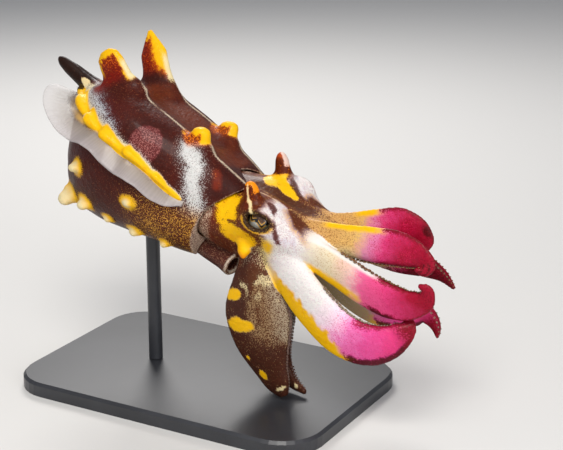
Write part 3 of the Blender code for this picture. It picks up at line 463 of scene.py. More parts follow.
def largest_shell(points, quads):
    """The part of the mesh that hangs together with its first point, grown by spreading labels."""
    label = np.arange(len(points))
    while True:
        low = label[quads].min(axis=1)
        new = label.copy()
        for corner in range(4):
            np.minimum.at(new, quads[:, corner], low)
        new = new[new]
        if np.array_equal(new, label):
            break
        label = new
    names, counts = np.unique(label, return_counts=True)
    keep = label == names[np.argmax(counts)]
    index = np.cumsum(keep) - 1
    return points[keep], index[quads[keep[quads].all(axis=1)]]


def normals_of(points, quads):
    """Outward direction at each point: the area-weighted mean of its faces' directions."""
    across = np.cross(points[quads[:, 2]] - points[quads[:, 0]], points[quads[:, 3]] - points[quads[:, 1]])
    total = np.zeros_like(points)
    for corner in range(4):
        for axis in range(3):
            total[:, axis] += np.bincount(quads[:, corner], across[:, axis], len(points))
    return unit(total)


def mantle_rings(rings=90, crest_steps=10, shoulder_steps=12, belly_steps=26):
    """Sections of the mantle: a dip of half a cosine between the ridges, then two quarter arcs."""
    places = 0.5 - 0.5 * np.cos(np.linspace(0.12, 1.0, rings) * math.pi)
    places = (places - places[0]) / (places[-1] - places[0])
    rows = curve_rows(MANTLE_ROWS, places, 1)
    x_top, x_low, middle, ridge_y, ridge_z, half, widest, belly = (rows[:, [k]] for k in range(8))
    crest = (np.arange(crest_steps) / crest_steps)[None]
    shoulder = (np.arange(shoulder_steps) / shoulder_steps * math.pi / 2)[None]
    under = np.linspace(0.0, math.pi / 2, belly_steps + 1)[None]
    y = np.concatenate([
        ridge_y * crest,
        ridge_y + (half - ridge_y) * np.sin(shoulder) ** SHOULDER_FULLNESS,
        half * np.abs(np.cos(under)) ** BELLY_FULLNESS], axis=1)
    z = np.concatenate([
        middle + (ridge_z - middle) * (1 - np.cos(math.pi * crest)) / 2,
        widest + (ridge_z - widest) * np.cos(shoulder) ** SHOULDER_FULLNESS,
        widest + (belly - widest) * np.sin(under) ** BELLY_FULLNESS], axis=1)
    y = np.concatenate([-y, y[:, -2:0:-1]], axis=1)
    z = np.concatenate([z, z[:, -2:0:-1]], axis=1)
    share = np.clip((z - belly) / np.maximum(ridge_z - belly, 0.1), 0.0, 1.0)
    x = x_low + (x_top - x_low) * share**TONGUE
    return from_mantle(np.stack([x, y, z], axis=-1))


def head_rings(rings=70, sides=96):
    """Sections of the head: half ellipses above and below, with a bell-shaped bulge at each eye."""
    rows = curve_rows(HEAD_ROWS, np.linspace(0.0, 1.0, rings), 1)
    x_top, x_low, half, widest, top, low = (rows[:, [k]] for k in range(6))
    angle = turns(sides)[None]
    rise = np.where(np.sin(angle) > 0, top - widest, widest - low)
    y = half * np.sign(np.cos(angle)) * np.abs(np.cos(angle)) ** 0.85
    z = widest + rise * np.sin(angle)
    x = x_low + (x_top - x_low) * (z - low) / np.maximum(top - low, 0.1)
    bulge_x = np.where(y < 0, EYE_BULGE_RIGHT[0], EYE_BULGE_LEFT[0])
    bulge_z = np.where(y < 0, EYE_BULGE_RIGHT[1], EYE_BULGE_LEFT[1])
    reach = ((x - bulge_x) / EYE_BULGE_SPREAD[0]) ** 2 + ((z - bulge_z) / EYE_BULGE_SPREAD[1]) ** 2
    swell = EYE_BULGE * np.exp(-reach) * np.tanh(np.abs(y) / 4.0)
    y = y + np.sign(y) * swell
    z = z + EYE_BULGE_LIFT * swell
    return from_head(np.stack([x, y, z], axis=-1))


def tube(path, radius, sides=20):
    """Rings of a round tube along a path, in scene millimetres; radius is one value a point."""
    path = np.asarray(path, float)
    forward = unit(np.gradient(path, axis=0))
    helper = np.array([0.0, 1.0, 0.0]) if abs(forward[0][1]) < 0.9 else np.array([1.0, 0.0, 0.0])
    one = unit(np.cross(forward, helper))
    two = np.cross(forward, one)
    angle = turns(sides)
    radius = np.broadcast_to(np.asarray(radius, float), (len(path),))[:, None, None]
    return path[:, None] + radius * (np.cos(angle)[None, :, None] * one[:, None]
                                     + np.sin(angle)[None, :, None] * two[:, None])


def papilla(foot, tip, width, thickness, outline="horn", sides=28, steps=14):
    """Tapered flap from a foot, sunk below the skin, to a tip; wider along the body than across."""
    foot, tip = np.asarray(foot, float), np.asarray(tip, float)
    length = np.linalg.norm(tip - foot)
    along = (tip - foot) / length
    across = unit(np.cross(along, (1.0, 0.0, 0.0)))
    wide = np.cross(across, along)
    stops = PAPILLA_OUTLINES[outline]
    knots, sizes = np.array([(-PAPILLA_SINK / length, stops[0][1])] + stops).T
    place = np.linspace(knots[0], 1.0, steps * 2)
    size = np.interp(place, knots, sizes)[:, None, None]
    angle = turns(sides)[None, :, None]
    centre = foot + along * place[:, None, None] * length
    return centre + size * (width * np.cos(angle) * wide + thickness * np.sin(angle) * across)


def arm_frames(table, places):
    """Path, blade direction and side direction of an arm at places from 0 to 1 along it."""
    places = np.asarray(places, float)
    path = curve_rows(table, places)[:, :3]
    step = 0.004
    ahead = curve_rows(table, np.clip(places + step, 0.0, 1.0))[:, :3]
    behind = curve_rows(table, np.clip(places - step, 0.0, 1.0))[:, :3]
    forward = unit(ahead - behind)
    side = np.array([0.0, -1.0, 0.0]) + 0.0 * path
    side = unit(side - (side * forward).sum(1)[:, None] * forward)
    return path, np.cross(forward, side), side


def arm_rings(name, rings=90, sides=40):
    """Sections of an arm: a drop shape, thick along the suckers' side, thin at the keel."""
    sign, table = ARMS[name]
    places = np.linspace(0.0, 1.0, rings)
    rows = curve_rows(table, places)
    path, blade, side = arm_frames(table, places)
    angle = turns(sides)
    high = np.cos(angle)[None, :, None] * rows[:, 3][:, None, None]
    flat = (np.sin(angle) * (1 + ORAL_THICKENING * np.cos(angle)))[None, :, None]
    return (COLLAR + path[:, None] + sign * blade[:, None] * high
            + side[:, None] * flat * rows[:, 4][:, None, None])


def mantle_side(x, angle, side):
    """Point and outward direction on the belly's arc at an angle below the widest line."""
    half, widest, belly = mantle_values(x, HALF_WIDTH, WIDEST, BELLY)
    turn = math.radians(angle)
    point = np.array([x, side * half * math.cos(turn) ** BELLY_FULLNESS,
                      widest + (belly - widest) * math.sin(turn) ** BELLY_FULLNESS])
    return point, unit(np.array([0.0, side * math.cos(turn) / half, math.sin(turn) / (belly - widest)]))


def ball(centre, radius, rings=40, sides=60):
    """Rings of a ball about a centre in scene millimetres, from pole to pole along Z."""
    down = np.linspace(0.02, math.pi - 0.02, rings)[:, None]
    around = turns(sides)[None]
    return np.asarray(centre) + radius * np.stack([
        np.sin(down) * np.cos(around), np.sin(down) * np.sin(around), np.cos(down) + 0 * around], axis=-1)


def belly_papilla(x, angle, length, side):
    """Foot and tip of a belly papilla in mantle coordinates."""
    foot, outward = mantle_side(x, angle, side)
    return foot, foot + outward * length - np.array([BELLY_PAPILLA_SWEEP * length, 0.0, 0.0])


def funnel_path():
    """Points along the funnel from its root to its mouth, one for each of its radii."""
    return np.linspace(from_head(FUNNEL_ROOT), from_head(FUNNEL_MOUTH), len(FUNNEL_RADII))


def lobe_height(x):
    """Height from 0 to 1 of the lobes of the yellow line: each rises at once and falls slowly."""
    inside = np.interp(x, FOOT_LOBES, np.arange(len(FOOT_LOBES))) % 1.0
    return smooth(inside, 0.0, 0.16) * fade(inside, 0.2, 1.0)


def mantle_skin():
    """Mantle and its papillae as one surface, hollowed where the neck and the funnel go in."""
    values = field(loft(mantle_rings()))
    for foot, tip, width, thickness, outline in DORSAL_PAPILLAE:
        flap = papilla(from_mantle(foot), from_mantle(tip), width, thickness, outline)
        blend = TALL_PAPILLA_BLEND if width > TALL_PAPILLA_WIDTH else PAPILLA_BLEND
        values = joined(values, field(loft(flap)), blend)
    for side in (-1, 1):
        places = np.linspace(0.0, 1.0, 160)
        line = curve_rows(FOOT_LINE, places)
        lobes = lobe_height(line[:, 0])
        path = line[:, :3] + np.array([0.0, -0.35, 0.35]) * lobes[:, None]
        path = from_mantle(path * np.array([1.0, -side, 1.0]))
        ridge = tube(path, line[:, 3] * (0.46 + 0.6 * lobes), 16)
        values = joined(values, field(loft(ridge)), FOOT_LINE_BLEND)
    for x, angle, length, width in BELLY_PAPILLAE:
        for side in (-1, 1):
            foot, tip = map(from_mantle, belly_papilla(x, angle, length, side))
            cone = papilla(foot, tip, width, width * BELLY_PAPILLA_FLATNESS)
            values = joined(values, field(loft(cone)), BELLY_PAPILLA_BLEND)
    neck = field(loft(head_rings())) - NECK_GAP
    values = carved(values, neck, NECK_BLEND)
    spout = field(loft(tube(funnel_path(), FUNNEL_RADII))) - FUNNEL_GAP
    values = carved(values, spout, FUNNEL_CUT_BLEND)
    return surface(values)


def head_skin():
    """Head, funnel and all eight arms as one surface with the eyes' openings."""
    head = field(loft(head_rings()))
    for foot, tip, width, thickness in EYE_PAPILLAE:
        flap = papilla(from_head(foot), from_head(tip), width, thickness)
        head = joined(head, field(loft(flap)), EYE_PAPILLA_BLEND)
    for side in (-1, 1):
        foot, tip, width, thickness = CHEEK_FLAP
        mirror = np.array([1.0, side, 1.0])
        flap = papilla(from_head(foot * mirror), from_head(tip * mirror), width, thickness, "blade")
        head = joined(head, field(loft(flap)), CHEEK_FLAP_BLEND)
    for _, side, at in EYES:
        for radius, above in LIDS:
            turn = np.linspace(0.0, math.pi, 24) * above
            x = (EYE_OPENING[0] + LID_MARGIN) * np.cos(turn)
            z = (EYE_OPENING[1] + LID_MARGIN) * np.sin(turn)
            y = side * np.sqrt((EYE_RADIUS + LID_STANDOFF) ** 2 - x**2 - z**2)
            path = from_head(np.stack([x, y, z], axis=1) @ gaze(side) + np.array(at))
            lid = field(loft(tube(path, radius * (0.4 + 0.6 * np.abs(np.sin(turn))), 12)))
            head = joined(head, lid, LID_BLEND)
    for _, side, at in EYES:
        socket = ball(from_head(at), EYE_RADIUS + SOCKET_GAP)
        head = carved(head, field(loft(socket)), SOCKET_BLEND)
        angle = turns(48)
        x, z = EYE_OPENING[0] * np.cos(angle), EYE_OPENING[1] * np.sin(angle)
        opening = [from_head(np.array(at) + np.stack([x, np.full(48, side * reach), z], axis=1) @ gaze(side))
                   for reach in (2.0, EYE_RADIUS + 6.0)]
        head = carved(head, field(loft(opening)), EYE_OPENING_BLEND)
    path = funnel_path()
    spout = field(loft(tube(path, FUNNEL_RADII, 40)))
    mouth, along = path[-1], unit(path[-1] - path[0])
    depths, radii = zip(*FUNNEL_BORE)
    bore = [mouth - along * depth for depth in depths]
    spout = carved(spout, field(loft(tube(bore, radii, 40))), FUNNEL_BORE_BLEND)
    base = joined(head, spout, FUNNEL_BLEND)
    turn = np.linspace(0.0, 2 * math.pi, 49)
    ring = np.stack([0 * turn, np.cos(turn), np.sin(turn)], axis=1) * LIP_RADII[0] + np.array(LIP_AT)
    base = joined(base, field(loft(tube(from_head(ring), LIP_RADII[1], 12))), LIP_BLEND)
    values = base
    for name in ARMS:
        arm = joined(base, field(loft(arm_rings(name))), ARM_ROOT_BLEND)
        values = joined(values, arm, ARM_CONTACT_BLEND)
    return surface(values)


def arm_coordinates(points):
    """For each point the nearest arm, place along it, place across the blade and nearness.

    Across runs from -1 at the keel to 1 at the suckers. Nearness is 1 on the arm's own surface
    and grows away from it.
    """
    best = np.full(len(points), 1e9)
    which = np.zeros(len(points), int)
    along = np.zeros(len(points))
    across = np.zeros(len(points))
    places = np.linspace(0.0, 1.0, ARM_PLACES)
    for number, (sign, table) in enumerate(ARMS.values()):
        rows = curve_rows(table, places)
        path, blade, side = arm_frames(table, places)
        path = path + COLLAR
        near = np.full(len(points), 1e9)
        for k in range(ARM_PLACES):
            gap = points - path[k]
            high = gap @ blade[k] * sign / rows[k, 3]
            flat = gap @ side[k] / rows[k, 4]
            forward = gap @ np.cross(blade[k], side[k]) / 1.2
            size = high * high + flat * flat + forward * forward
            better = size < near
            near = np.where(better, size, near)
            take = better & (size < best)
            best = np.where(take, size, best)
            which = np.where(take, number, which)
            along = np.where(take, places[k], along)
            across = np.where(take, high, across)
    return which, along, np.clip(across, -1.2, 1.2), np.sqrt(best)


def colour(red, green, blue):
    """Linear colour from screen values of 0 to 255."""
    value = np.array([red, green, blue]) / 255.0
    return np.where(value <= 0.04045, value / 12.92, ((value + 0.055) / 1.055) ** 2.4)


WHITE = colour(226, 223, 217)
CREAM = colour(226, 208, 158)
YELLOW = colour(240, 184, 6)
ORANGE = colour(222, 116, 8)
MAROON = colour(45, 9, 5)
BROWN = colour(72, 22, 9)
RED = colour(96, 14, 6)
BLACK = colour(24, 13, 9)
TAN = colour(206, 158, 92)
GREY = colour(168, 166, 164)
PINK = colour(240, 138, 184)
ROSE = colour(214, 60, 118)
CRIMSON = colour(154, 12, 42)
WINE = colour(70, 8, 14)


class Paint:
    """Pale ground, dark pigment and how much of the ground pigment dots cover, at each point."""

    def __init__(self, count, ground, pigment, density):
        """The same ground, pigment and density at each of so many points."""
        self.ground = np.tile(ground, (count, 1))
        self.pigment = np.tile(pigment, (count, 1))
        self.density = np.full(count, float(density))

    def add(self, mask, ground=None, pigment=None, density=None):
        """Move each value that is given towards the new one by a mask from 0 to 1."""
        mask = np.clip(mask, 0.0, 1.0)
        if ground is not None:
            self.ground += (ground - self.ground) * mask[:, None]
        if pigment is not None:
            self.pigment += (pigment - self.pigment) * mask[:, None]
        if density is not None:
            self.density += (density - self.density) * mask

    def values(self):
        """Attributes for the skin's material."""
        marks = np.stack([self.density, self.density, self.density], axis=1)
        return {"ground": np.clip(self.ground, 0, 1), "pigment": np.clip(self.pigment, 0, 1),
                "marks": np.clip(marks, 0, 1)}


def layer(paint, shade, mask):
    """Paint moved towards a shade by a mask from 0 to 1."""
    return paint + (shade - paint) * np.clip(mask, 0.0, 1.0)[:, None]


def ramp(place, *stops):
    """Colour at a place between stops of place and colour."""
    at, shades = zip(*stops)
    return np.stack([np.interp(place, at, [shade[k] for shade in shades]) for k in range(3)], axis=1)


def blob(at, centre, size, wobble=0.0, soft=0.2):
    """Round mask: 1 inside an ellipsoid, falling to 0 about its edge."""
    distance = np.linalg.norm((at - np.array(centre)) / np.array(size), axis=1) + wobble
    return fade(distance, 1 - soft, 1 + soft)


def line_distance(at, line):
    """Distance of each point to a broken line through points."""
    line = np.asarray(line, float)
    best = np.full(len(at), 1e9)
    for start, end in zip(line[:-1], line[1:]):
        step = end - start
        t = np.clip((at - start) @ step / (step @ step), 0, 1)
        best = np.minimum(best, np.linalg.norm(at - start - t[:, None] * step, axis=1))
    return best


def on_papilla(at, foot, tip, width, outline, wobble):
    """Mask of a papilla, place from its foot to its tip, and place across it from -1 to 1."""
    foot, tip = np.array(foot), np.array(tip)
    along = unit(tip - foot)
    length = np.linalg.norm(tip - foot)
    place = (at - foot) @ along / length
    off = at - foot - (place * length)[:, None] * along
    wide_way = np.cross(unit(np.cross(along, (1.0, 0.0, 0.0))), along)
    size = np.interp(place, *np.array(PAPILLA_OUTLINES[outline]).T)
    near = fade(np.linalg.norm(off, axis=1), width * 1.5, width * 2.0)
    inside = smooth(place + 0.05 * wobble, 0.03, 0.16) * near
    return inside, place, (off @ wide_way) / (width * size)


def paint_mantle(points, normals):
    """Paint of the mantle: dark maroon with a white band, white and yellow patches and yellow tips."""
    at = to_mantle(points)
    near = at * np.array([1.0, -1.0, 1.0])
    near = np.where(at[:, 1:2] < 0, at, near)
    x, y, z = near.T
    wobble = noise(points, 3.2, 5)
    fine = noise(points, 1.1, 9)
    broad = noise(points, 8.0, 15)
    ridge_y, ridge_z, belly = mantle_values(x, RIDGE_Y, RIDGE_Z, BELLY)
    skin = Paint(len(points), colour(122, 66, 40), MAROON, 0.88)
    skin.add(0.4 + 0.5 * wobble, pigment=colour(64, 15, 7))
    skin.add(smooth(broad, -0.1, 0.5), density=0.84)
    trough = fade(-y - ridge_y, -3.2, 0.8) * smooth(z, 6.0, 11.0)
    skin.add(trough, pigment=colour(82, 32, 13), density=0.95)
    skin.add(trough * smooth(noise(points, 5.0, 21), -0.1, 0.5), pigment=colour(62, 17, 8))
    side = (1 - trough) * smooth(z, -8.0, 2.0)
    skin.add(side * smooth(-x, 26.0, 40.0) * fade(z, 16.0, 20.0) * 0.6, pigment=colour(67, 16, 17))

    band = line_distance(near, [(-12.2, -13.6, 14.6), (-8.4, -15.0, 11.2), (-6.6, -15.6, 7.0),
                                (-4.8, -15.0, 3.0), (-3.8, -14.0, -1.5), (-3.4, -11.4, -6.0)])
    band = band + 1.3 * wobble + 0.5 * fine
    skin.add(fade(band, 1.5, 6.5) * 0.9, ground=GREY, density=0.62)
    lower = fade(z, -3.0, 7.0)
    skin.add(fade(band, 0.8, 3.8), ground=colour(204, 202, 198), density=0.26 + 0.24 * lower)
    rear = line_distance(near, [(-50.5, -9.0, 14.4), (-44.5, -14.2, 14.4), (-39.5, -17.2, 13.0),
                                (-34.5, -19.0, 10.6)]) + 1.2 * wobble + 0.5 * fine
    skin.add(fade(rear, 2.2, 5.4) * 0.9, ground=colour(150, 152, 160), density=0.6)
    skin.add(fade(rear, 1.0, 3.4), ground=colour(190, 192, 194), density=0.46)
    skin.add(blob(near, (-51.5, -7.5, 13.6), (4.0, 5.0, 3.0), 0.2 * wobble, 0.3), ground=CREAM, density=0.3)
    spot = np.linalg.norm((near - np.array([-22.4, -18.9, 11.8])) / np.array([4.8, 4.8, 5.6]), axis=1)
    spot = spot + 0.1 * wobble + 0.04 * fine
    skin.add(fade(spot, 1.25, 1.7), pigment=colour(49, 12, 8), density=0.95)
    skin.add(fade(spot, 0.9, 1.02), ground=colour(150, 88, 84), pigment=colour(77, 24, 25), density=0.66)
    skin.add(fade(spot, 0.2, 0.8) * 0.5, ground=colour(168, 106, 96), density=0.6)

    low_front = smooth(x, -30.0, -14.0) * fade(z, -4.0, 2.5)
    skin.add(low_front, ground=colour(214, 156, 60), pigment=colour(66, 17, 17))
    skin.add(low_front * (1 - 0.4 * smooth(x, -6.0, -2.0)), density=0.66 + 0.16 * broad)
    under = fade(z, belly + 0.5, belly + 6.0)
    skin.add(under * 0.7, pigment=colour(44, 12, 11), density=0.86)
    skin.add(smooth(x, -3.4, -1.6) * smooth(z, 4.0, 7.0), pigment=colour(47, 12, 8), density=0.97)
    streak = line_distance(near, [(-2.6, -12.6, 12.4), (-1.8, -12.4, 10.6), (-1.2, -12.6, 8.6)])
    skin.add(fade(streak + 0.9 * wobble, 0.1, 1.9) * 0.7, ground=ORANGE, pigment=colour(108, 26, 8))
    crest = np.exp(-((-y - ridge_y - 0.5 + 0.12 * fine) / 0.72) ** 2) * smooth(z, ridge_z - 2.6, ridge_z - 0.9)
    crest = crest * smooth(x, -37.0, -33.0) * smooth(noise(points, 5.0, 51), -0.9, -0.3)
    skin.add(crest * 0.9, ground=colour(206, 190, 164), density=0.2)

    lines = np.array(FOOT_LINE)
    gap = line_distance(near, lines[:, :3]) + 0.25 * wobble + 0.15 * fine
    width = np.interp(x, lines[:, 0], lines[:, 3])
    above = smooth(z - np.interp(x, lines[:, 0], lines[:, 2]), 0.0, 0.8)
    skin.add(fade(gap, width * 1.2, width * 3.4) * above, ground=colour(204, 198, 188), density=0.5)
    skin.add(fade(gap, width * 1.2, width * 2.2) * above, ground=CREAM, density=0.25)
    skin.add(fade(gap, width * 1.2, width * 2.4) * (1 - above), ground=CREAM * 0.9, density=0.3)
    width = width * (1.0 + 0.8 * lobe_height(x))
    skin.add(fade(gap, width * 1.05, width * 1.3 + 0.1), ground=YELLOW, density=0.0)
    skin.add(fade(gap, width * 0.6, width) * smooth(fine, 0.1, 0.6) * 0.5, ground=colour(226, 138, 8))
    for x_foot, angle, length, wide in BELLY_PAPILLAE:
        gap = line_distance(near, belly_papilla(x_foot, angle, length, -1)) + 0.5 * wobble + 0.3 * fine
        skin.add(fade(gap, wide * 1.0, wide * 2.2), ground=YELLOW, density=0.06)
        skin.add(fade(gap, wide * 0.5, wide * 1.3), ground=CREAM)
    paint_papillae(skin, points, at, wobble)
    lip = smooth(normals @ MANTLE_TURN[:, 0], 0.45, 0.8) * smooth(x, -5.0, -3.6)
    skin.add(lip, ground=colour(196, 172, 150), pigment=colour(81, 40, 29), density=0.5)
    return skin.values()


def paint_papillae(skin, points, at, wobble):
    """Papillae of the back: the two tall ones, two small ones in front and two dark ones behind."""
    ragged = 0.14 * noise(points, 0.8, 61)
    for number, (foot, tip, wide, _, outline) in enumerate(DORSAL_PAPILLAE):
        inside, place, edge = on_papilla(at, foot, tip, wide, outline, wobble)
        rim = np.maximum(smooth(np.abs(edge) + ragged, 0.6, 0.74), smooth(place + ragged, 0.8, 0.87))
        if number == 0:
            skin.add(inside * smooth(place + 0.5 * ragged, 0.08, 0.4),
                     ground=colour(150, 50, 12), pigment=RED, density=0.84)
            rim = rim * smooth(place + 0.25 * edge, 0.22, 0.4)
            skin.add(inside * rim, ground=YELLOW * 0.94, pigment=colour(170, 96, 6), density=0.2)
            skin.add(inside * smooth(place, 0.3, 0.8) * (1 - rim), ground=colour(214, 96, 10), density=0.66)
            skin.add(inside * smooth(edge, 0.7, 0.9) * fade(place, 0.5, 0.7), ground=CREAM, density=0.1)
        elif number == 1:
            skin.add(inside, pigment=MAROON, density=0.95)
            skin.add(inside * smooth(place, 0.2, 0.42), ground=colour(196, 74, 8), pigment=RED, density=0.72)
            front = np.maximum(smooth(edge + ragged, -0.25, 0.4), smooth(place + ragged, 0.78, 0.9))
            front = front * smooth(place + 0.25 * edge + 0.6 * ragged, 0.26, 0.56)
            skin.add(inside * front, ground=YELLOW, pigment=colour(196, 84, 8))
            skin.add(inside * smooth(front, 0.3, 1.0), density=0.1)
            skin.add(inside * smooth(edge, 0.68, 0.88) * fade(place, 0.45, 0.6),
                     ground=CREAM, density=0.1)
        elif number in (2, 3):
            skin.add(inside * smooth(place, 0.02, 0.4), ground=ORANGE, pigment=colour(101, 29, 5), density=0.62)
            gold = np.maximum(smooth(edge + ragged, 0.2, 0.5), smooth(place + ragged, 0.62, 0.78))
            skin.add(inside * gold * smooth(place, 0.18, 0.3), ground=YELLOW, density=0.06)
        else:
            skin.add(inside, pigment=BLACK, density=1.0)
            # Painted highlight: the ridge's highlight, painted as a cream lens near the foot of each dark
            # papilla.
            lens = fade(np.hypot((place - 0.18) / 0.15, (edge - 0.4) / 0.42), 0.8, 1.05)
            skin.add(inside * lens, ground=CREAM, density=0.08)


def paint_eye_area(skin, points, at, wobble, fine):
    """Lids, papillae and flap about each eye."""
    ring = np.full(len(points), 1e9)
    above = np.zeros(len(points))
    for _, side, centre in EYES:
        off = (at - np.array(centre)) @ gaze(side).T
        around = np.hypot(off[:, 0] / (EYE_OPENING[0] + 0.7), off[:, 2] / (EYE_OPENING[1] + 0.7))
        mine = (off[:, 1] * side > 0.5) & (around < ring)
        ring = np.where(mine, around, ring)
        above = np.where(mine, off[:, 2], above)
    lids = fade(ring + 0.08 * fine, 0.98, 1.28)
    upper = smooth(above, -0.4, 0.5)
    skin.add(lids * upper, ground=TAN, pigment=colour(55, 17, 8), density=0.9)
    skin.add(lids * (1 - upper), ground=colour(214, 160, 20), pigment=BROWN, density=0.25)
    skin.add(fade(ring, 0.9, 1.02), ground=colour(140, 110, 60), pigment=colour(34, 15, 8), density=0.8)
    for foot, tip, wide, _ in EYE_PAPILLAE:
        inside, place, edge = on_papilla(at, foot, tip, wide, "horn", wobble)
        skin.add(inside, ground=ORANGE, pigment=colour(67, 15, 5), density=0.92)
        margin = smooth(edge + 0.1 * fine, 0.66, 0.86) * smooth(place, 0.4, 0.6)
        rim = np.maximum(margin, smooth(place, 0.84, 0.93))
        if foot[1] < 0:
            skin.add(inside * rim, ground=colour(238, 140, 8), density=0.18)
            stripe = fade(np.abs(edge + 0.1), 0.08, 0.24) * smooth(np.abs(at[:, 1]), 8.6, 9.2)
            skin.add(inside * stripe, ground=CREAM, density=0.06)
        else:
            skin.add(inside * smooth(place, 0.7, 0.95), pigment=colour(150, 52, 14), density=0.8)
            skin.add(inside * smooth(edge, 0.6, 0.85) * smooth(place, 0.3, 0.5), ground=colour(220, 190, 176),
                     density=0.2)
    flat = at * np.array([1.0, 0.0, 1.0])
    stripe = line_distance(flat, [(-4.9, 0.0, 9.3), (-4.0, 0.0, 8.4), (-2.8, 0.0, 7.4), (-1.9, 0.0, 6.0)])
    stripe = fade(stripe + 0.15 * fine, 0.3, 0.6) * smooth(-at[:, 1], 7.6, 8.6)
    skin.add(stripe, ground=CREAM, density=0.1)


# By pair of arms, where the arm's own paint starts to cover the head's and where it is full.
ARM_PAINT = {1: (0.02, 0.16), 2: (0.02, 0.18), 3: (0.0, 0.14), 4: (0.02, 0.12)}
# Each mark on the lowest arms: place along, place across, half-length and half-width.
LOW_ARM_MARKS = ((0.27, -0.75, 0.045, 0.36), (0.47, -0.5, 0.05, 0.5), (0.68, -0.66, 0.016, 0.1),
                 (0.81, -0.4, 0.035, 0.24), (0.93, 0.3, 0.016, 0.5))


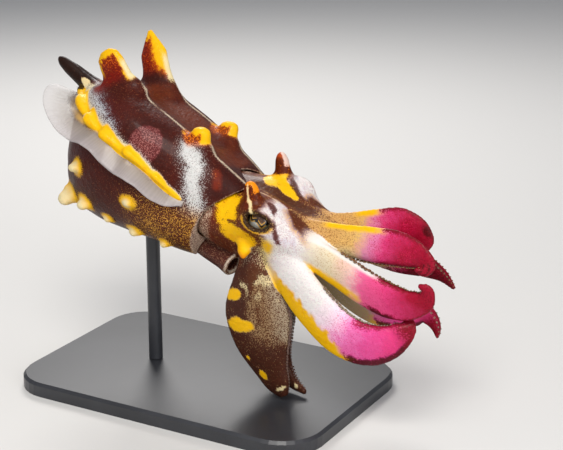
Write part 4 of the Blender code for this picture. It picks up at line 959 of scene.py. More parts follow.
def paint_arms(skin, points, normals, wobble, fine):
    """Arms: pale roots, pink and crimson blades, yellow keels, and the dark lowest pair.

    In the masks s runs along an arm and c across it, and w and f are coarse and fine noise.
    """
    which, along, across, nearness = arm_coordinates(points)
    number = np.array([int(name[-1]) for name in ARMS])[which]
    cover = fade(nearness, 1.2, 1.6)
    for pair, (low, high) in ARM_PAINT.items():
        mine = np.flatnonzero((number == pair) & (cover > 0))
        s, c = along[mine], across[mine]
        w, f = wobble[mine], fine[mine]
        whole = np.ones(len(mine))
        left = points[mine][:, 1] > 0
        inward = smooth(-normals[mine][:, 1] * np.sign(points[mine][:, 1]), 0.1, 0.5)
        keel = -c + 0.06 * w
        warm = s + 0.04 * w + 0.02 * f
        arm = Paint(len(mine), WHITE, colour(198, 178, 186), 0.36)
        arm.add(smooth(s, 0.42, 0.55), pigment=colour(166, 22, 62))
        arm.add(smooth(s, 0.74, 0.88), pigment=colour(120, 6, 30))
        if pair == 1:
            arm.add(whole, ground=ramp(warm + 0.05 * c, (0.2, TAN), (0.42, colour(222, 178, 104)),
                                       (0.52, PINK * 0.8), (0.6, ROSE), (0.74, CRIMSON)))
            arm.add(smooth(c, 0.0, 0.9) * fade(s, 0.36, 0.5), ground=CREAM)
            arm.add(whole, density=np.interp(warm, [0.2, 0.45, 0.6, 0.8], [0.44, 0.34, 0.36, 0.56]))
            arm.add(fade(s, 0.4, 0.5), pigment=colour(128, 78, 34))
            arm.add(smooth(np.abs(c) + 0.06 * f, 0.66, 0.95) * smooth(s, 0.5, 0.6),
                    pigment=colour(104, 6, 20), density=0.86)
            begin = np.where(left, 0.36, 0.18)
            gold = smooth(s - begin, 0.0, 0.08) * fade(warm, 0.54, 0.64)
            arm.add(smooth(keel + 0.05 * f, 0.6, 0.8) * gold, ground=YELLOW, density=0.12)
            spot = fade(np.hypot((s - 0.87) / 0.035, (keel - 0.6) / 0.4), 0.6, 1.1)
            arm.add(spot * left, pigment=WINE, density=0.9)
            curl = np.abs(np.hypot((s - 0.93) / 0.05, (c - 0.1) / 0.6) - 0.8) + 0.1 * f
            arm.add(fade(curl, 0.1, 0.3) * ~left, pigment=WINE, density=0.8)
        elif pair == 2:
            arm.add(whole, ground=ramp(warm + 0.04 * c, (0.0, WHITE), (0.3, colour(224, 208, 174)),
                                       (0.42, colour(232, 184, 172)), (0.5, colour(226, 92, 142)),
                                       (0.66, ROSE), (0.84, CRIMSON)))
            arm.add(whole, density=np.interp(warm, [0.1, 0.4, 0.55, 0.75, 0.9], [0.34, 0.36, 0.24, 0.36, 0.56]))
            arm.add(smooth(s, 0.14, 0.22) * fade(s, 0.34, 0.44), pigment=colour(168, 132, 92))
            gold = smooth(keel + 0.1 * f, 0.3, 0.56) * smooth(s, 0.1, 0.2) * fade(warm, 0.44, 0.54)
            arm.add(gold, ground=YELLOW, density=0.08)
            arm.add(smooth(np.abs(c) + 0.06 * f, 0.72, 0.96) * smooth(s, 0.5, 0.6),
                    pigment=colour(112, 4, 24), density=0.88)
            blotch = smooth(keel, 0.5, 0.8) * smooth(s, 0.5, 0.55) * fade(s, 0.66, 0.72)
            arm.add(blotch * smooth(w + f, -0.4, 0.2), pigment=WINE, density=0.95)
            arm.add(smooth(c, 0.82, 0.96) * fade(s, 0.5, 0.6), ground=WHITE, density=0.0)
        elif pair == 3:
            arm.add(whole, ground=ramp(warm - 0.03 * c, (0.34, WHITE), (0.48, colour(244, 206, 226)),
                                       (0.57, colour(236, 128, 186)), (0.68, colour(222, 84, 150)),
                                       (0.82, ROSE), (0.95, CRIMSON)))
            arm.add(smooth(s, 0.42, 0.55) * fade(s, 0.84, 0.92), pigment=colour(196, 48, 116))
            edge = smooth(np.abs(c) + 0.1 * f, 0.62, 0.95) * smooth(s, 0.56, 0.64)
            arm.add(edge, pigment=colour(128, 6, 34), density=0.82)
            begin = np.interp(s, [0.05, 0.2, 0.36, 0.5, 0.6], [0.42, 0.26, 0.02, 0.16, 0.4])
            gold = smooth(keel + 0.2 * w + 0.14 * f - begin, 0.0, 0.2) * fade(warm, 0.54, 0.6)
            arm.add(gold, ground=YELLOW, density=0.1)
            arm.add(gold * smooth(f + w, 0.0, 0.7) * 0.6, ground=colour(222, 150, 8))
            arm.add(smooth(keel, 0.62, 0.8) * fade(warm, 0.62, 0.68), ground=YELLOW, density=0.03)
            margin = smooth(keel + 0.14 * f, 0.5, 0.72) * smooth(warm, 0.56, 0.62) * fade(s, 0.95, 1.0)
            arm.add(margin, pigment=colour(66, 8, 12), density=0.93)
            arm.add(smooth(s, 0.84, 0.92), pigment=colour(110, 6, 24), density=0.75)
        else:
            arm.add(whole, ground=colour(150, 116, 80), pigment=colour(54, 20, 12), density=0.84)
            pale = smooth(c + 0.3 * w, -0.45, 0.15) * fade(s + 0.06 * w, 0.52, 0.66)
            arm.add(pale, ground=colour(160, 130, 92), pigment=colour(74, 36, 18), density=0.56)
            arm.add(pale * smooth(c, 0.3, 0.9), ground=colour(158, 142, 118), density=0.48)
            patch = smooth(noise(points[mine], 2.6, 93), 0.05, 0.35) * fade(s, 0.2, 0.34)
            arm.add(patch, ground=colour(214, 196, 150), density=0.45)
            dark = smooth(noise(points[mine], 3.4, 91), 0.0, 0.35)
            dark = dark * np.maximum(fade(c, -0.1, 0.4), fade(s, 0.2, 0.3))
            arm.add(dark, density=0.98)
            arm.add(smooth(s, 0.6, 0.72), density=0.9)
            for place, middle, long, wide in LOW_ARM_MARKS:
                distance = np.hypot((s - place) / long, (c - middle) / wide) + 0.25 * w + 0.15 * f
                arm.add(fade(distance, 0.75, 1.1), ground=YELLOW if place < 0.9 else CREAM, density=0.03)
        if pair == 2:
            # Painted shade: the tip of the left second arm is darker crimson on its faces turned to the middle,
            # where it passes behind the right first arm's curl.
            inner_face_shade = inward * smooth(s, 0.55, 0.7) * left
            arm.add(inner_face_shade, ground=CRIMSON * 0.62, pigment=WINE, density=0.62)
        if pair in (2, 3):
            arm.add(inward * fade(warm, 0.5, 0.62) * 0.85, ground=colour(176, 166, 136), density=0.3)
        mask = cover[mine] * smooth(s, low, high)
        for own, new in ((skin.ground, arm.ground), (skin.pigment, arm.pigment)):
            own[mine] += (new - own[mine]) * mask[:, None]
        skin.density[mine] += (arm.density - skin.density[mine]) * mask


def paint_head(points, normals):
    """Paint of the head, the funnel and the arms."""
    at = to_head(points)
    near = at.copy()
    near[:, 1] = -np.abs(near[:, 1])
    x, y, z = near.T
    wobble = noise(points, 2.6, 5)
    fine = noise(points, 1.0, 9)
    skin = Paint(len(points), colour(190, 128, 70), BROWN, 0.84)
    skin.add(smooth(noise(points, 4.0, 3), -0.2, 0.4), pigment=colour(82, 18, 7))
    skin.add(smooth(noise(points, 2.4, 45), -0.1, 0.5), density=0.93)
    neck = fade(x + 0.8 * wobble, -15.6, -13.4)
    skin.add(neck, ground=colour(200, 172, 146), pigment=colour(81, 37, 24), density=0.6)
    below = smooth(x, -7.0, -2.0) * fade(z, -4.0, -1.0)
    skin.add(below, ground=colour(226, 206, 170), density=0.72 + 0.14 * wobble)
    edge_x = np.interp(z, [-13.0, -8.0, -4.0, 0.0, 2.5, 5.0, 8.0], [5.4, 4.4, 2.6, 3.4, 2.6, 0.2, -0.8])
    inner = np.interp(x, [-4.0, 0.0, 3.0, 6.0, 10.0], [2.0, 3.0, 4.2, 6.4, 7.0])
    white = smooth(x - edge_x + 1.2 * wobble, -1.4, 0.9) * smooth(-y - inner + 0.6 * wobble, -0.5, 0.7)
    white = np.where(z < 3.0, smooth(x - edge_x + 1.2 * wobble, -1.4, 0.9), white)
    far = smooth(x - edge_x + 2.2 + 0.8 * wobble, -1.0, 0.8) * smooth(at[:, 1], 3.4, 5.0) * smooth(z, 2.0, 4.0)
    white = np.maximum(white, far)
    skin.add(white, ground=WHITE, pigment=colour(176, 150, 154), density=0.44)
    skin.add(white * smooth(noise(points, 3.0, 33), 0.0, 0.5), ground=colour(210, 202, 210))
    fringe = np.exp(-((x - edge_x + 1.2 * wobble + 0.4) / 2.2) ** 2) * fade(z, 1.0, 3.0)
    skin.add(fringe * 0.7, ground=colour(232, 206, 110), density=0.4)
    skin.add(blob(near, (3.0, -11.2, -0.8), (1.6, 2.2, 2.2), 0.25 * wobble, 0.5), ground=YELLOW, density=0.26)
    yellow = blob(near, (-10.4, -9.6, 3.2), (4.2, 5.4, 4.4), 0.28 * wobble + 0.1 * fine, 0.34)
    low = blob(near, (-6.0, -11.8, -1.4), (5.4, 4.0, 3.0), 0.25 * wobble + 0.08 * fine, 0.26)
    yellow = np.maximum(yellow, low)
    mottle = smooth(noise(points, 1.3, 35), 0.1, 0.7)
    skin.add(np.minimum(2.5 * yellow, 1.0), ground=YELLOW)
    skin.add(yellow, pigment=colour(132, 62, 6), density=0.14 + 0.4 * mottle)
    skin.add(yellow * smooth(noise(points, 2.2, 37), 0.1, 0.6) * 0.6, ground=colour(226, 150, 6))
    skin.add(blob(near, (-6.6, -10.4, 6.0), (1.8, 3.0, 2.4), 0.3 * wobble, 0.4), pigment=BROWN, density=0.9)
    crack = line_distance(near, [(-11.6, -11.4, 0.9), (-9.6, -11.8, 1.6), (-7.4, -12.2, 2.2),
                                 (-5.6, -12.4, 3.0)])
    skin.add(fade(crack + 0.4 * fine, 0.3, 0.9) * 0.9, pigment=BROWN, density=0.85)
    foot, tip = CHEEK_FLAP[:2]
    flip = np.array([1.0, -1.0, 1.0])
    flap = line_distance(near, [np.array(foot) * flip, np.array(tip) * flip])
    skin.add(fade(flap, 1.7, 2.3), ground=YELLOW, density=0.0)
    lower_tip = smooth(-z, 4.6, 6.4) * fade(flap, 1.7, 2.3)
    skin.add(lower_tip * 0.8, ground=ORANGE)
    brow = line_distance(at, [(-0.4, -7.4, 9.0), (1.6, -8.6, 8.4), (2.2, -10.3, 7.2), (3.6, -11.2, 5.4),
                              (4.8, -11.2, 3.4), (5.6, -10.8, 1.6)])
    skin.add(fade(brow + 0.6 * wobble + 0.3 * fine, 0.5, 1.2), pigment=colour(71, 18, 8), density=0.93)
    streak = line_distance(near, [(5.4, -5.2, 7.0), (8.4, -6.0, 6.2), (11.4, -6.6, 5.3), (14.0, -7.2, 3.8)])
    skin.add(fade(streak + 0.9 * wobble, 1.8, 3.6), ground=TAN, density=0.5)
    skin.add(fade(streak + 0.8 * wobble, 0.9, 2.6), pigment=colour(69, 21, 9), density=0.92)
    stripe = np.abs(at[:, 1] - np.interp(x, [-12.0, -3.0, 4.0, 10.0], [1.6, 0.6, 0.2, 0.8])) + 0.4 * wobble
    top = smooth(z, 2.0, 4.0)
    skin.add(fade(stripe, 2.6, 3.8) * top, ground=TAN, pigment=colour(77, 29, 13), density=0.82)
    skin.add(fade(stripe, 1.2, 2.4) * top * fade(x, 7.0, 12.0),
             pigment=colour(59, 18, 8), density=0.96)
    skin.add(fade(stripe, 2.0, 4.5) * top * smooth(x, 8.0, 12.0), ground=TAN, density=0.5)
    # Painted highlight: a pale line along the top edge of the right eye's bulge stands in for its lit rim.
    rim = line_distance(at, [(-7.4, -3.6, 7.9), (-4.9, -3.4, 8.2), (-1.3, -3.6, 8.3), (2.6, -5.0, 7.9),
                             (5.8, -6.9, 6.8)])
    skin.add(fade(rim + 0.2 * fine, 0.2, 0.6) * 0.8, ground=colour(214, 190, 160), density=0.2)
    left = smooth(at[:, 1], 1.2, 2.0)
    gold = line_distance(at, [(-8.0, 5.0, 7.8), (-5.0, 4.6, 8.2), (-2.0, 3.8, 8.0), (0.8, 2.4, 7.3)])
    gold = fade(gold + 0.5 * wobble + 0.2 * fine, 1.7, 2.2)
    gold = np.maximum(gold, blob(at, (-6.6, 6.0, 8.4), (3.2, 4.6, 3.4), 0.3 * wobble + 0.1 * fine))
    skin.add(left * gold, ground=YELLOW, pigment=BROWN, density=0.16 + 0.34 * mottle)
    bar = line_distance(at, [(-4.0, 9.5, 8.2), (-2.6, 7.0, 8.8), (-0.2, 5.2, 8.2), (3.4, 3.4, 7.2)])
    skin.add(left * fade(bar + 0.5 * wobble, 0.6, 1.4), pigment=colour(67, 20, 9), density=0.93)
    paint_eye_area(skin, points, at, wobble, fine)
    paint_funnel(skin, at)
    paint_arms(skin, points, normals, wobble, fine)
    return skin.values()


def paint_funnel(skin, at):
    """Brown-purple funnel with a pale lip."""
    root, mouth = np.array(FUNNEL_ROOT), np.array(FUNNEL_MOUTH)
    along = unit(mouth - root)
    place = (at - mouth) @ along
    off = at - mouth - place[:, None] * along
    spout = fade(np.linalg.norm(off, axis=1), 3.5, 3.9) * fade(place, 0.2, 0.5)
    skin.add(spout, ground=colour(132, 92, 70), pigment=colour(62, 25, 20), density=0.72)
    skin.add(spout * smooth(place, -0.5, -0.1), ground=colour(196, 180, 160), density=0.3)


class Value:
    """One output in a material's nodes. Python's operators add Math nodes that work it out."""

    def __init__(self, tree, socket):
        """The output socket and the node tree that it is in."""
        self.tree = tree
        self.socket = socket

    def math(self, operation, *others, clamp=False):
        """Math node of that operation on this value and others, numbers or values."""
        made = self.tree.nodes.new("ShaderNodeMath")
        made.operation = operation
        made.use_clamp = clamp
        for place, value in enumerate((self, *others)):
            put(self.tree, made.inputs[place], value)
        return Value(self.tree, made.outputs[0])

    def __add__(self, other):
        """Sum."""
        return self.math("ADD", other)

    def __sub__(self, other):
        """Difference."""
        return self.math("SUBTRACT", other)

    def __mul__(self, other):
        """Product."""
        return self.math("MULTIPLY", other)

    def __truediv__(self, other):
        """Quotient."""
        return self.math("DIVIDE", other)

    def __rsub__(self, other):
        """A number less this value."""
        return Value(self.tree, self.tree_number(other)).math("SUBTRACT", self)

    def __pow__(self, other):
        """Power."""
        return self.math("POWER", other)

    __radd__ = __add__
    __rmul__ = __mul__

    def tree_number(self, number):
        """Output of a Value node that holds a number."""
        made = self.tree.nodes.new("ShaderNodeValue")
        made.outputs[0].default_value = number
        return made.outputs[0]

    def step(self, low, high):
        """Smooth step from 0 at low to 1 at high; low may be above high."""
        made = self.tree.nodes.new("ShaderNodeMapRange")
        made.interpolation_type = "SMOOTHSTEP"
        for name, value in (("Value", self), ("From Min", low), ("From Max", high)):
            put(self.tree, made.inputs[name], value)
        return Value(self.tree, made.outputs["Result"])


def put(tree, socket, value):
    """Link a value to a socket, or set a plain number, colour or vector on it."""
    if isinstance(value, Value):
        tree.links.new(value.socket, socket)
    else:
        socket.default_value = value


class Material:
    """A Principled material whose nodes are added by name."""

    def __init__(self, name):
        """A new material of that name with its shader still plain."""
        self.made = bpy.data.materials.new(name)
        self.made.use_nodes = True
        self.tree = self.made.node_tree
        self.shader = self.tree.nodes["Principled BSDF"]

    def node(self, kind, output, settings=None, **inputs):
        """A node with its settings and inputs, named with _ for spaces; one of its outputs."""
        made = self.tree.nodes.new("ShaderNode" + kind)
        for key, value in (settings or {}).items():
            setattr(made, key, value)
        for key, value in inputs.items():
            put(self.tree, made.inputs[key.replace("_", " ")], value)
        return Value(self.tree, made.outputs[output])

    def mix(self, factor, one, other, blend="MIX"):
        """Colour between one and other by a factor from 0 to 1."""
        made = self.tree.nodes.new("ShaderNodeMix")
        made.data_type = "RGBA"
        made.blend_type = blend
        for place, value in ((0, factor), (6, one), (7, other)):
            put(self.tree, made.inputs[place], value)
        return Value(self.tree, made.outputs[2])

    def set(self, **inputs):
        """Values of the shader's own sockets."""
        for key, value in inputs.items():
            put(self.tree, self.shader.inputs[key.replace("_", " ")], value)

    def place(self):
        """Object coordinates."""
        return self.node("TexCoord", "Object")

    def attribute(self, name):
        """Colour painted on the mesh's points."""
        return self.node("Attribute", "Color", {"attribute_name": name})

    def channel(self, name, shade):
        """Red, Green or Blue part of a colour."""
        return self.node("SeparateColor", name, Color=shade)

    def noise(self, at, size_mm, detail=3.0, rough=0.55):
        """Noise from 0 to 1 with lumps of about that size in millimetres."""
        return self.node("TexNoise", "Fac", Vector=at, Scale=1.0 / (size_mm * MM),
                         Detail=detail, Roughness=rough)

    def cells(self, at, size_mm, output="Distance"):
        """Distance to the nearest point of cells of about that size in millimetres, or their colour."""
        return self.node("TexVoronoi", output, {"feature": "F1"}, Vector=at, Scale=1.0 / (size_mm * MM))

    def bump(self, height, depth_mm, strength=1.0):
        """Direction of a surface raised by height times the depth in millimetres."""
        return self.node("Bump", "Normal", Height=height, Distance=depth_mm * MM, Strength=strength)


def rgba(shade):
    """Linear colour with full alpha."""
    return (*(float(part) for part in shade), 1.0)


def skin_material(name):
    """Skin: pigment dots of two sizes spread over a pale ground, soft folds and a wet sheen."""
    skin = Material(name)
    at = skin.place()
    cover = skin.channel("Red", skin.attribute("marks"))
    jitter = (skin.noise(at, 0.3, 2.0) - 0.5) * 0.22
    coarse = skin.cells(at, 0.38)
    fine = skin.cells(at, 0.22)
    dots = (cover * 0.86 - coarse + jitter).step(-0.05, 0.07)
    small = (cover * 0.74 - fine + jitter).step(-0.05, 0.08)
    pigment = dots.math("MAXIMUM", small)
    tone = skin.channel("Red", skin.cells(at, 0.38, "Color"))
    dark = skin.mix(tone * 0.6, skin.attribute("pigment"),
                    skin.mix(1.0, skin.attribute("pigment"), (1.75, 1.7, 1.6, 1.0), "MULTIPLY"))
    cloud = skin.noise(at, 4.0, 4.0)
    pale = skin.mix(cloud * 0.3, skin.attribute("ground"),
                    skin.mix(1.0, skin.attribute("ground"), (0.8, 0.78, 0.8, 1.0), "MULTIPLY"))
    shade = skin.mix(pigment * 0.96, pale, dark)
    warts = (0.62 - skin.cells(at, 1.5)).step(0.0, 0.5)
    folds = (skin.noise(at, 1.6, 5.0, 0.6) * 0.55 + skin.noise(at, 0.4, 3.0) * 0.22
             + warts * 0.2 + pigment * 0.04)
    skin.set(Base_Color=shade, Roughness=0.38 + cloud * 0.16, Normal=skin.bump(folds, 0.5, 0.6),
             Coat_Weight=0.16, Coat_Roughness=0.12, Coat_IOR=1.34, IOR=1.2, Subsurface_Weight=0.1,
             Subsurface_Radius=(1.0, 0.42, 0.3), Subsurface_Scale=0.0008)
    return skin.made


def fin_material():
    """Thin lavender membrane with fine muscle streaks, denser and freckled near the body."""
    fin = Material("fin_membrane")
    at = fin.place()
    freckles = fin.channel("Red", fin.attribute("marks"))
    streaks = fin.channel("Green", fin.attribute("marks"))
    solid = fin.channel("Blue", fin.attribute("marks"))
    grain = fin.noise(at, 0.7, 4.0)
    shade = fin.mix(grain * 0.3 + streaks * 0.05, fin.attribute("ground"), rgba(colour(196, 186, 186)))
    dots = (freckles - fin.cells(at, 0.46)).step(-0.05, 0.08)
    shade = fin.mix(dots * 0.8, shade, rgba(colour(66, 34, 34)))
    fin.set(Base_Color=shade, Roughness=0.3 + grain * 0.15, Coat_Weight=0.3, Coat_Roughness=0.15,
            Alpha=solid + dots * 0.3 + streaks * 0.04 - grain * 0.1,
            Normal=fin.bump(streaks * 0.3 + grain * 0.5, 0.06, 0.4), IOR=1.36)
    return fin.made


def eye_material():
    """Wet eyeball painted by its points, under a clear coat."""
    eye = Material("eyeball")
    at = eye.place()
    glitter = eye.cells(at, 0.18).step(0.5, 0.1) * eye.noise(at, 0.8, 2.0)
    marks = eye.channel("Red", eye.attribute("marks"))
    shade = eye.mix(glitter * marks * 0.6, eye.attribute("paint"), rgba(colour(236, 226, 176)))
    eye.set(Base_Color=shade, Roughness=0.26, Metallic=marks * 0.45, Coat_Weight=1.0,
            Coat_Roughness=0.03, Normal=eye.bump(glitter, 0.03, 0.35))
    return eye.made


def sucker_material():
    """Pale muscular cups with a darker rim, and a hollow that their paint darkens as painted shade."""
    cup = Material("sucker_skin")
    at = cup.place()
    shade = cup.mix(cup.noise(at, 0.5, 3.0) * 0.4, cup.attribute("paint"), rgba(colour(120, 66, 50)))
    cup.set(Base_Color=shade, Roughness=0.36, Coat_Weight=0.3, Coat_Roughness=0.2,
            Normal=cup.bump(cup.noise(at, 0.2, 2.0), 0.05, 0.5),
            Subsurface_Weight=0.15, Subsurface_Radius=(1.0, 0.5, 0.35), Subsurface_Scale=0.0006)
    return cup.made


def stand_material():
    """Satin dark paint with a fine orange-peel and a little dust wear."""
    paint = Material("stand_paint")
    at = paint.place()
    wear = paint.noise(at, 14.0, 5.0, 0.6)
    shade = paint.mix(wear.step(0.35, 0.75), rgba(colour(38, 39, 43)), rgba(colour(50, 51, 55)))
    paint.set(Base_Color=shade, Roughness=0.36 + wear * 0.14, Coat_Weight=0.2, Coat_Roughness=0.25,
              Normal=paint.bump(paint.noise(at, 0.5, 2.0), 0.01, 0.4))
    return paint.made


def skin_piece(name, skin, painter, material):
    """Painted mesh of a skin made by one of the two skin functions."""
    points, quads = skin
    return new_piece(name, points, quads, material, painter(points, normals_of(points, quads)))


def fin_shape(side):
    """Rings of the rippled fin, places along it, and reach and side of the points of each ring.

    At each place along the body a strip swings up and down as a sine of the place. Ripples of a
    little more than three times that pace grow with the square of the distance to the edge. The
    foot climbs at the rear to the end of the yellow line, so that the last part is a round lobe.
    """
    place = np.linspace(0.0, 1.0, FIN_STATIONS)
    x, width, droop = curve_rows(FIN_ROWS, place, 1).T
    half, widest = mantle_values(x, HALF_WIDTH, WIDEST)
    end = np.minimum(np.clip(place / 0.1, 0.1, 1.0), np.clip((1 - place) / 0.09, 0.03, 1.0))
    width = width * (1 - 0.2 * smooth(place, 0.86, 1.0)) * (1 - (1 - end) ** 2.2) ** (1 / 2.2)
    climb = smooth(place, FIN_CLIMB_START, 1.0)
    phase = FIN_PHASE if side > 0 else 0.0
    wave = np.sin(place * FIN_WAVES * 2 * math.pi + phase)
    angle = np.radians(droop * (1 - 0.9 * climb) + FIN_SWING * wave)
    back = np.radians(np.interp(place, *np.array(FIN_LEAN).T))
    out = np.stack([-np.sin(back) * np.cos(angle), side * np.cos(back) * np.cos(angle), -np.sin(angle)], axis=1)
    up = np.cross((1.0, 0.0, 0.0), out)
    up = unit(up * np.sign(up[:, 2:3]))
    foot = np.stack([x, side * (half - FIN_ROOT), widest - FIN_FOOT_DROP], axis=1)
    climb = climb[:, None]
    foot = foot * (1 - climb) + np.array(FIN_END) * np.array([1.0, side, 1.0]) * climb
    length = (width + FIN_ROOT)[:, None]
    reach = np.linspace(0.0, 1.0, FIN_REACH)
    reach = np.concatenate([reach, reach[-2::-1]])
    under = np.concatenate([np.ones(FIN_REACH), -np.ones(FIN_REACH - 1)])
    thick = np.interp(reach, *np.array(FIN_SECTION).T)
    ripple = FIN_RIPPLE * np.sin(place * FIN_WAVES * 6.4 * math.pi + phase)[:, None] * reach[None] ** 2
    height = ripple + (thick * under / 2)[None]
    points = foot[:, None] + out[:, None] * (length * reach[None])[..., None] + up[:, None] * height[..., None]
    return from_mantle(points), place, reach, under


def fin_piece(side, material):
    """Fin with its paint: opaque and gold at the foot, then clear, with streaks across it."""
    rings, place, reach, under = fin_shape(side)
    flat, quads, fans = loft(rings)
    edge = np.concatenate([np.tile(reach, FIN_STATIONS), [0.5, 0.5]])
    upper = np.concatenate([np.tile(under, FIN_STATIONS), [0.0, 0.0]])
    streaks = np.repeat(0.5 + 0.5 * np.sin(place * 380.0 + 3 * np.sin(place * 57.0)), len(reach))
    streaks = np.concatenate([streaks, [0.5, 0.5]]) * smooth(edge, 0.3, 0.55)
    wobble = noise(flat, 2.4, 12)
    root = FIN_ROOT / (FIN_ROOT + FIN_PAINT_WIDTH)
    tail = smooth(np.concatenate([np.repeat(place, len(reach)), [0.0, 1.0]]), 0.7, 0.92)
    ground = ramp(edge, (root, colour(128, 112, 92)), (0.6, colour(160, 148, 136)),
                  (0.9, colour(186, 176, 174)))
    gold = smooth(upper, 0.0, 0.5) * fade(edge + 0.04 * wobble, root * 0.9, root * 1.25) * (1 - tail)
    ground = layer(ground, YELLOW, gold)
    ground = layer(ground, colour(232, 226, 222), smooth(edge + 0.03 * wobble, 0.95, 0.99) * 0.3)
    solid = np.interp(edge, [0.0, root, 0.55, 0.85, 0.95, 1.0], [1.0, 0.95, 0.78, 0.56, 0.56, 0.66])
    solid = solid * (1 - 0.66 * tail * smooth(edge, 0.12, 0.4))
    dots = fade(edge + 0.1 * wobble, 0.3, 0.55) * 0.45 * (1 - gold)
    marks = np.stack([dots, streaks, solid], axis=1)
    faces = quads.tolist() + fans.tolist()
    name = "fin_membrane_left" if side > 0 else "fin_membrane_right"
    return new_piece(name, flat, faces, material, {"ground": ground, "marks": marks})


# Middle line of the W-shaped pupil, across and up in the plane of the eye's opening.
PUPIL = [(-3.2, 1.5), (-2.6, 1.1), (-1.8, -0.3), (-0.8, 0.3), (-0.1, 0.0), (1.3, -1.1), (2.2, 0.2), (2.8, 1.0)]
# Each wide spot of the pupil: across, up, half-width and half-height.
PUPIL_SPOTS = ((-0.4, 0.15, 0.5, 0.62), (2.35, 0.35, 0.5, 0.75))


def oval(x, z, at_x, at_z, wide, high, full=0.6, none=1.1):
    """Soft oval mask in the plane of the eye's opening: 1 up to full of its size, 0 from none on."""
    return fade(np.hypot((x - at_x) / wide, (z - at_z) / high), full, none)


def eyeball_piece(name, side, centre, material):
    """Eyeball: a sphere whose pole looks out sideways, with a W-shaped pupil painted about it."""
    radius = EYE_RADIUS - EYEBALL_PLAY
    tilt = np.linspace(0.0, 1.0, 150)[1:] * math.pi * 0.98
    around = np.linspace(0.0, 2 * math.pi, 200, endpoint=False)
    out = np.cos(tilt)[:, None] + 0 * around[None]
    x = np.sin(tilt)[:, None] * np.cos(around)[None]
    z = np.sin(tilt)[:, None] * np.sin(around)[None]
    sphere = (np.stack([x, side * out, z], axis=-1) * radius) @ gaze(side)
    flat, quads, fans = loft(from_head(sphere + np.array(centre)))
    local = (to_head(flat) - np.array(centre)) @ gaze(side).T
    x, z = local[:, 0], local[:, 2]
    front = local[:, 1] * side > 0
    line = np.array([(across, 0.0, height) for across, height in PUPIL])
    gap = line_distance(np.stack([x, 0 * x, z], axis=1), line)
    wobble = noise(flat, 0.8, 77)
    wave = np.interp(x, line[:, 0], line[:, 2])
    paint = np.tile(colour(112, 112, 92), (len(flat), 1))
    paint = layer(paint, colour(196, 196, 190), oval(x, z, -0.6, -1.5, 1.8, 1.2) * 0.8)
    paint = layer(paint, colour(150, 128, 52), smooth(wobble, 0.1, 0.5) * 0.4)
    paint = layer(paint, colour(78, 42, 20), smooth(z - wave, 0.1, 0.5))
    paint = layer(paint, colour(132, 84, 40), smooth(z - wave, 0.1, 0.5) * smooth(wobble, 0.0, 0.4) * 0.7)
    rim = np.hypot(x / 4.0, z / 3.2)
    paint = layer(paint, colour(34, 26, 22), smooth(rim, 0.78, 0.98))
    paint = layer(paint, colour(20, 16, 18), oval(x, z, -3.4, 0.1, 1.1, 1.7))
    paint = layer(paint, colour(206, 150, 40), fade(gap, 0.42, 0.56) * front)
    paint = layer(paint, colour(8, 7, 8), fade(gap, 0.2, 0.28) * front)
    for spot in PUPIL_SPOTS:
        paint = layer(paint, colour(5, 5, 6), oval(x, z, *spot, 0.8, 1.0) * front)
    marks = np.stack([smooth(paint.sum(1), 0.05, 0.2), x * 0, x * 0], axis=1)
    faces = quads.tolist() + fans.tolist()
    return new_piece(name, flat, faces, material, {"paint": np.clip(paint, 0, 1), "marks": marks})


SUCKERS_PER_ROW, SUCKER_SIDES = 30, 16
# Places along the arm of the first and the last sucker, and their radii.
SUCKER_START, SUCKER_END = 0.3, 0.985
SUCKER_RADIUS = (0.6, 0.18)
# Degrees that each row leans to its side, and that both turn towards the middle of the animal.
SUCKER_LEAN, SUCKER_TURN = 24.0, 20.0
# Outline of a sucker: distance from its axis and height over the skin, in its own radii.
SUCKER_OUTLINE = [(0.5, -1.0), (0.52, 0.1), (0.8, 0.32), (1.0, 0.55), (1.02, 0.72), (0.9, 0.84),
                  (0.7, 0.82), (0.55, 0.62), (0.42, 0.42), (0.2, 0.36), (0.04, 0.36)]
# Share of the rim's colour at each point of that outline; the rest is the hollow's dark brown, which is painted
# shade.
SUCKER_SHADES = [0.0, 0.1, 0.5, 0.9, 1.0, 1.0, 0.7, 0.25, 0.1, 0.05, 0.0]
SUCKER_RIMS = {"1": colour(150, 108, 36), "2": colour(128, 92, 30), "3": colour(176, 164, 138),
               "4": colour(118, 96, 82)}


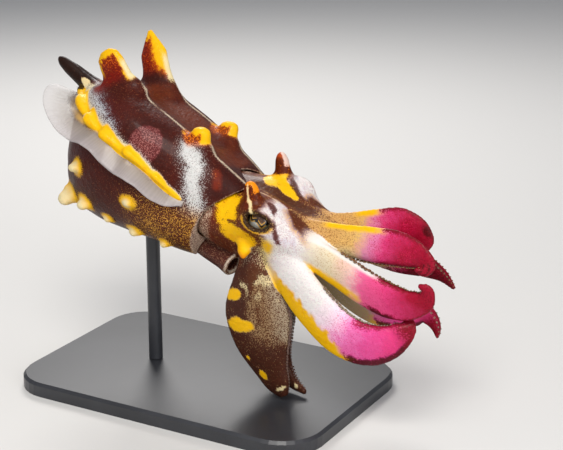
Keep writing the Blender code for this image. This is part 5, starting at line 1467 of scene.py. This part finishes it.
def sucker_piece(name, material):
    """Two staggered rows of cups along an arm's inner edge: one outline turned about each axis."""
    sign, table = ARMS[name]
    rng = np.random.default_rng(17)
    count = SUCKERS_PER_ROW * 2
    step = np.linspace(0.0, 1.0, count)
    places = SUCKER_START + (SUCKER_END - SUCKER_START) * step ** 0.92
    rows = curve_rows(table, places)
    path, blade, side = arm_frames(table, places)
    lean = np.radians(SUCKER_LEAN) * np.where(np.arange(count) % 2, 1.0, -1.0)
    inward = -np.sign(side[:, 1] * path[:, 1]) * np.radians(SUCKER_TURN)
    lean = (lean * (1 + rng.uniform(-0.15, 0.15, count)) + inward)[:, None]
    out = sign * blade * np.cos(lean) + side * np.sin(lean)
    spread = np.sin(lean) * rows[:, 4:5] * (1 + ORAL_THICKENING)
    foot = COLLAR + path + sign * blade * rows[:, 3:4] * np.cos(lean * 0.9) + side * spread
    size = SUCKER_RADIUS[0] + (SUCKER_RADIUS[1] - SUCKER_RADIUS[0]) * step
    size = size * (1 + rng.uniform(-0.1, 0.1, count))
    forward = unit(np.cross(blade, side))
    one = unit(forward - (forward * out).sum(1)[:, None] * out)
    two = np.cross(out, one)
    angle = turns(SUCKER_SIDES)
    outline = np.array(SUCKER_OUTLINE)
    radial = np.cos(angle)[None, :, None] * one[:, None] + np.sin(angle)[None, :, None] * two[:, None]
    wide = radial[:, None] * outline[None, :, 0, None, None]
    high = out[:, None, None] * outline[None, :, 1, None, None]
    rings = foot[:, None, None] + size[:, None, None, None] * (wide + high)
    ends = np.stack([rings[:, 0].mean(1), rings[:, -1].mean(1)], axis=1)
    points = np.concatenate([rings.reshape(count, -1, 3), ends], axis=1).reshape(-1, 3)
    quads, fans = grid_faces(len(outline), SUCKER_SIDES)
    faces = []
    for start in range(0, len(points), len(points) // count):
        faces += (quads[:, ::-1] + start).tolist() + (fans[:, ::-1] + start).tolist()
    shade = np.tile(np.append(np.repeat(SUCKER_SHADES, SUCKER_SIDES), [0.0, 0.0]), count)
    # The cups start dark brown, which is painted shade in their hollows; the rim's colour is laid over that.
    paint = np.tile(colour(44, 20, 12), (len(points), 1))
    paint = layer(paint, SUCKER_RIMS[name[-1]], shade * (1 - 0.4 * smooth(noise(points, 1.6, 7), -0.1, 0.3)))
    return new_piece("suckers_" + name, points, faces, material, {"paint": paint})


# Each lamp: name, place from the camera's aim, width, power and tint.
LAMPS = [
    ("key", (120.0, -330.0, 420.0), 260.0, 2.6, (1.0, 0.97, 0.93)),
    ("fill", (420.0, -260.0, 120.0), 320.0, 0.9, (0.93, 0.96, 1.0)),
    ("rim", (-260.0, 320.0, 330.0), 200.0, 1.8, (1.0, 0.98, 0.96)),
]
# Half-width and half-depth of the floor, height of its raised end and radius of the bend to it.
FLOOR_WIDTH, FLOOR_DEPTH, FLOOR_RISE, FLOOR_BEND = 3000.0, 1500.0, 900.0, 400.0
SKY_TINT, SKY_STRENGTH = (0.86, 0.9, 1.0, 1.0), 0.36


def soft_light(name, offset, size, power, tint):
    """Square soft lamp at an offset in millimetres from the camera's aim, turned to it."""
    lamp = bpy.data.lights.new(name, "AREA")
    lamp.shape = "SQUARE"
    lamp.size = size * MM
    lamp.energy = power
    lamp.color = tint
    holder = bpy.data.objects.new(name, lamp)
    place = CAMERA_AIM + np.array(offset)
    holder.location = (place * MM).tolist()
    holder.rotation_euler = look_along(CAMERA_AIM - place)
    bpy.context.scene.collection.objects.link(holder)


def look_along(direction):
    """Turn that points a lamp or camera along a direction, with its top upwards."""
    return Vector(direction.tolist()).to_track_quat("-Z", "Y").to_euler()


def studio():
    """Pale floor that curves up behind, soft lamps and even pale surroundings."""
    turn = np.linspace(0.0, math.pi / 2, 24)
    start = FLOOR_DEPTH - FLOOR_BEND
    profile = np.concatenate([
        [[-FLOOR_DEPTH, 0.0]],
        np.stack([start + FLOOR_BEND * np.sin(turn), FLOOR_BEND - FLOOR_BEND * np.cos(turn)], axis=1),
        [[FLOOR_DEPTH, FLOOR_RISE]]])
    across = np.array([-FLOOR_WIDTH, FLOOR_WIDTH])
    heading = math.radians(CAMERA_AZIMUTH)
    away = np.array([-math.sin(heading), math.cos(heading), 0.0])
    beside = np.array([math.cos(heading), math.sin(heading), 0.0])
    points = (away * profile[:, None, 0:1] + beside * across[None, :, None]
              + np.array([0.0, 0.0, 1.0]) * profile[:, None, 1:2]).reshape(-1, 3)
    row = np.arange(len(profile) - 1)[:, None] * 2
    quads = np.concatenate([row, row + 1, row + 3, row + 2], axis=1)
    cloth = Material("studio_floor")
    cloth.set(Base_Color=(0.62, 0.61, 0.59, 1.0), Roughness=0.85)
    floor = new_piece("studio_floor", points, quads, cloth.made)
    world = bpy.data.worlds.new("studio")
    world.use_nodes = True
    background = world.node_tree.nodes["Background"]
    background.inputs["Color"].default_value = SKY_TINT
    background.inputs["Strength"].default_value = SKY_STRENGTH
    bpy.context.scene.world = world
    bpy.context.scene.view_settings.view_transform = "Standard"
    for lamp in LAMPS:
        soft_light(*lamp)


def camera():
    """Camera at the photograph's viewing angle."""
    azimuth, elevation = math.radians(CAMERA_AZIMUTH), math.radians(CAMERA_ELEVATION)
    back = np.array([math.sin(azimuth) * math.cos(elevation),
                     -math.cos(azimuth) * math.cos(elevation), math.sin(elevation)])
    lens = bpy.data.cameras.new("photo_view")
    lens.lens = CAMERA_LENS
    lens.sensor_width = 36.0
    holder = bpy.data.objects.new("photo_view", lens)
    holder.location = ((CAMERA_AIM + back * CAMERA_DISTANCE) * MM).tolist()
    holder.rotation_euler = look_along(-back)
    bpy.context.scene.collection.objects.link(holder)
    bpy.context.scene.camera = holder


skin = skin_material("skin")
mantle = skin_piece("skin_mantle", mantle_skin(), paint_mantle, skin)
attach(mantle, "root")
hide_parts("mantle")

crown = skin_piece("skin_head_and_arms", head_skin(), paint_head, skin)
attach(crown, "root")
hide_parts("head", "funnel", *ARM_NODES)

membrane = fin_material()
for name, side in (("left", 1), ("right", -1)):
    piece = fin_piece(side, membrane)
    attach(piece, "root")
    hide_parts("fin_" + name)

wet = eye_material()
for name, side, at in EYES:
    piece = eyeball_piece("eyeball_" + name, side, at, wet)
    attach(piece, "root")
    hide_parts("eye_" + name)

cups = sucker_material()
for name in ARMS:
    piece = sucker_piece(name, cups)
    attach(piece, "root")

satin = stand_material()
for name in ("stand_base", "stand_rod"):
    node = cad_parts[name]
    for holder in node.material_slots:
        holder.material = satin

studio()
camera()
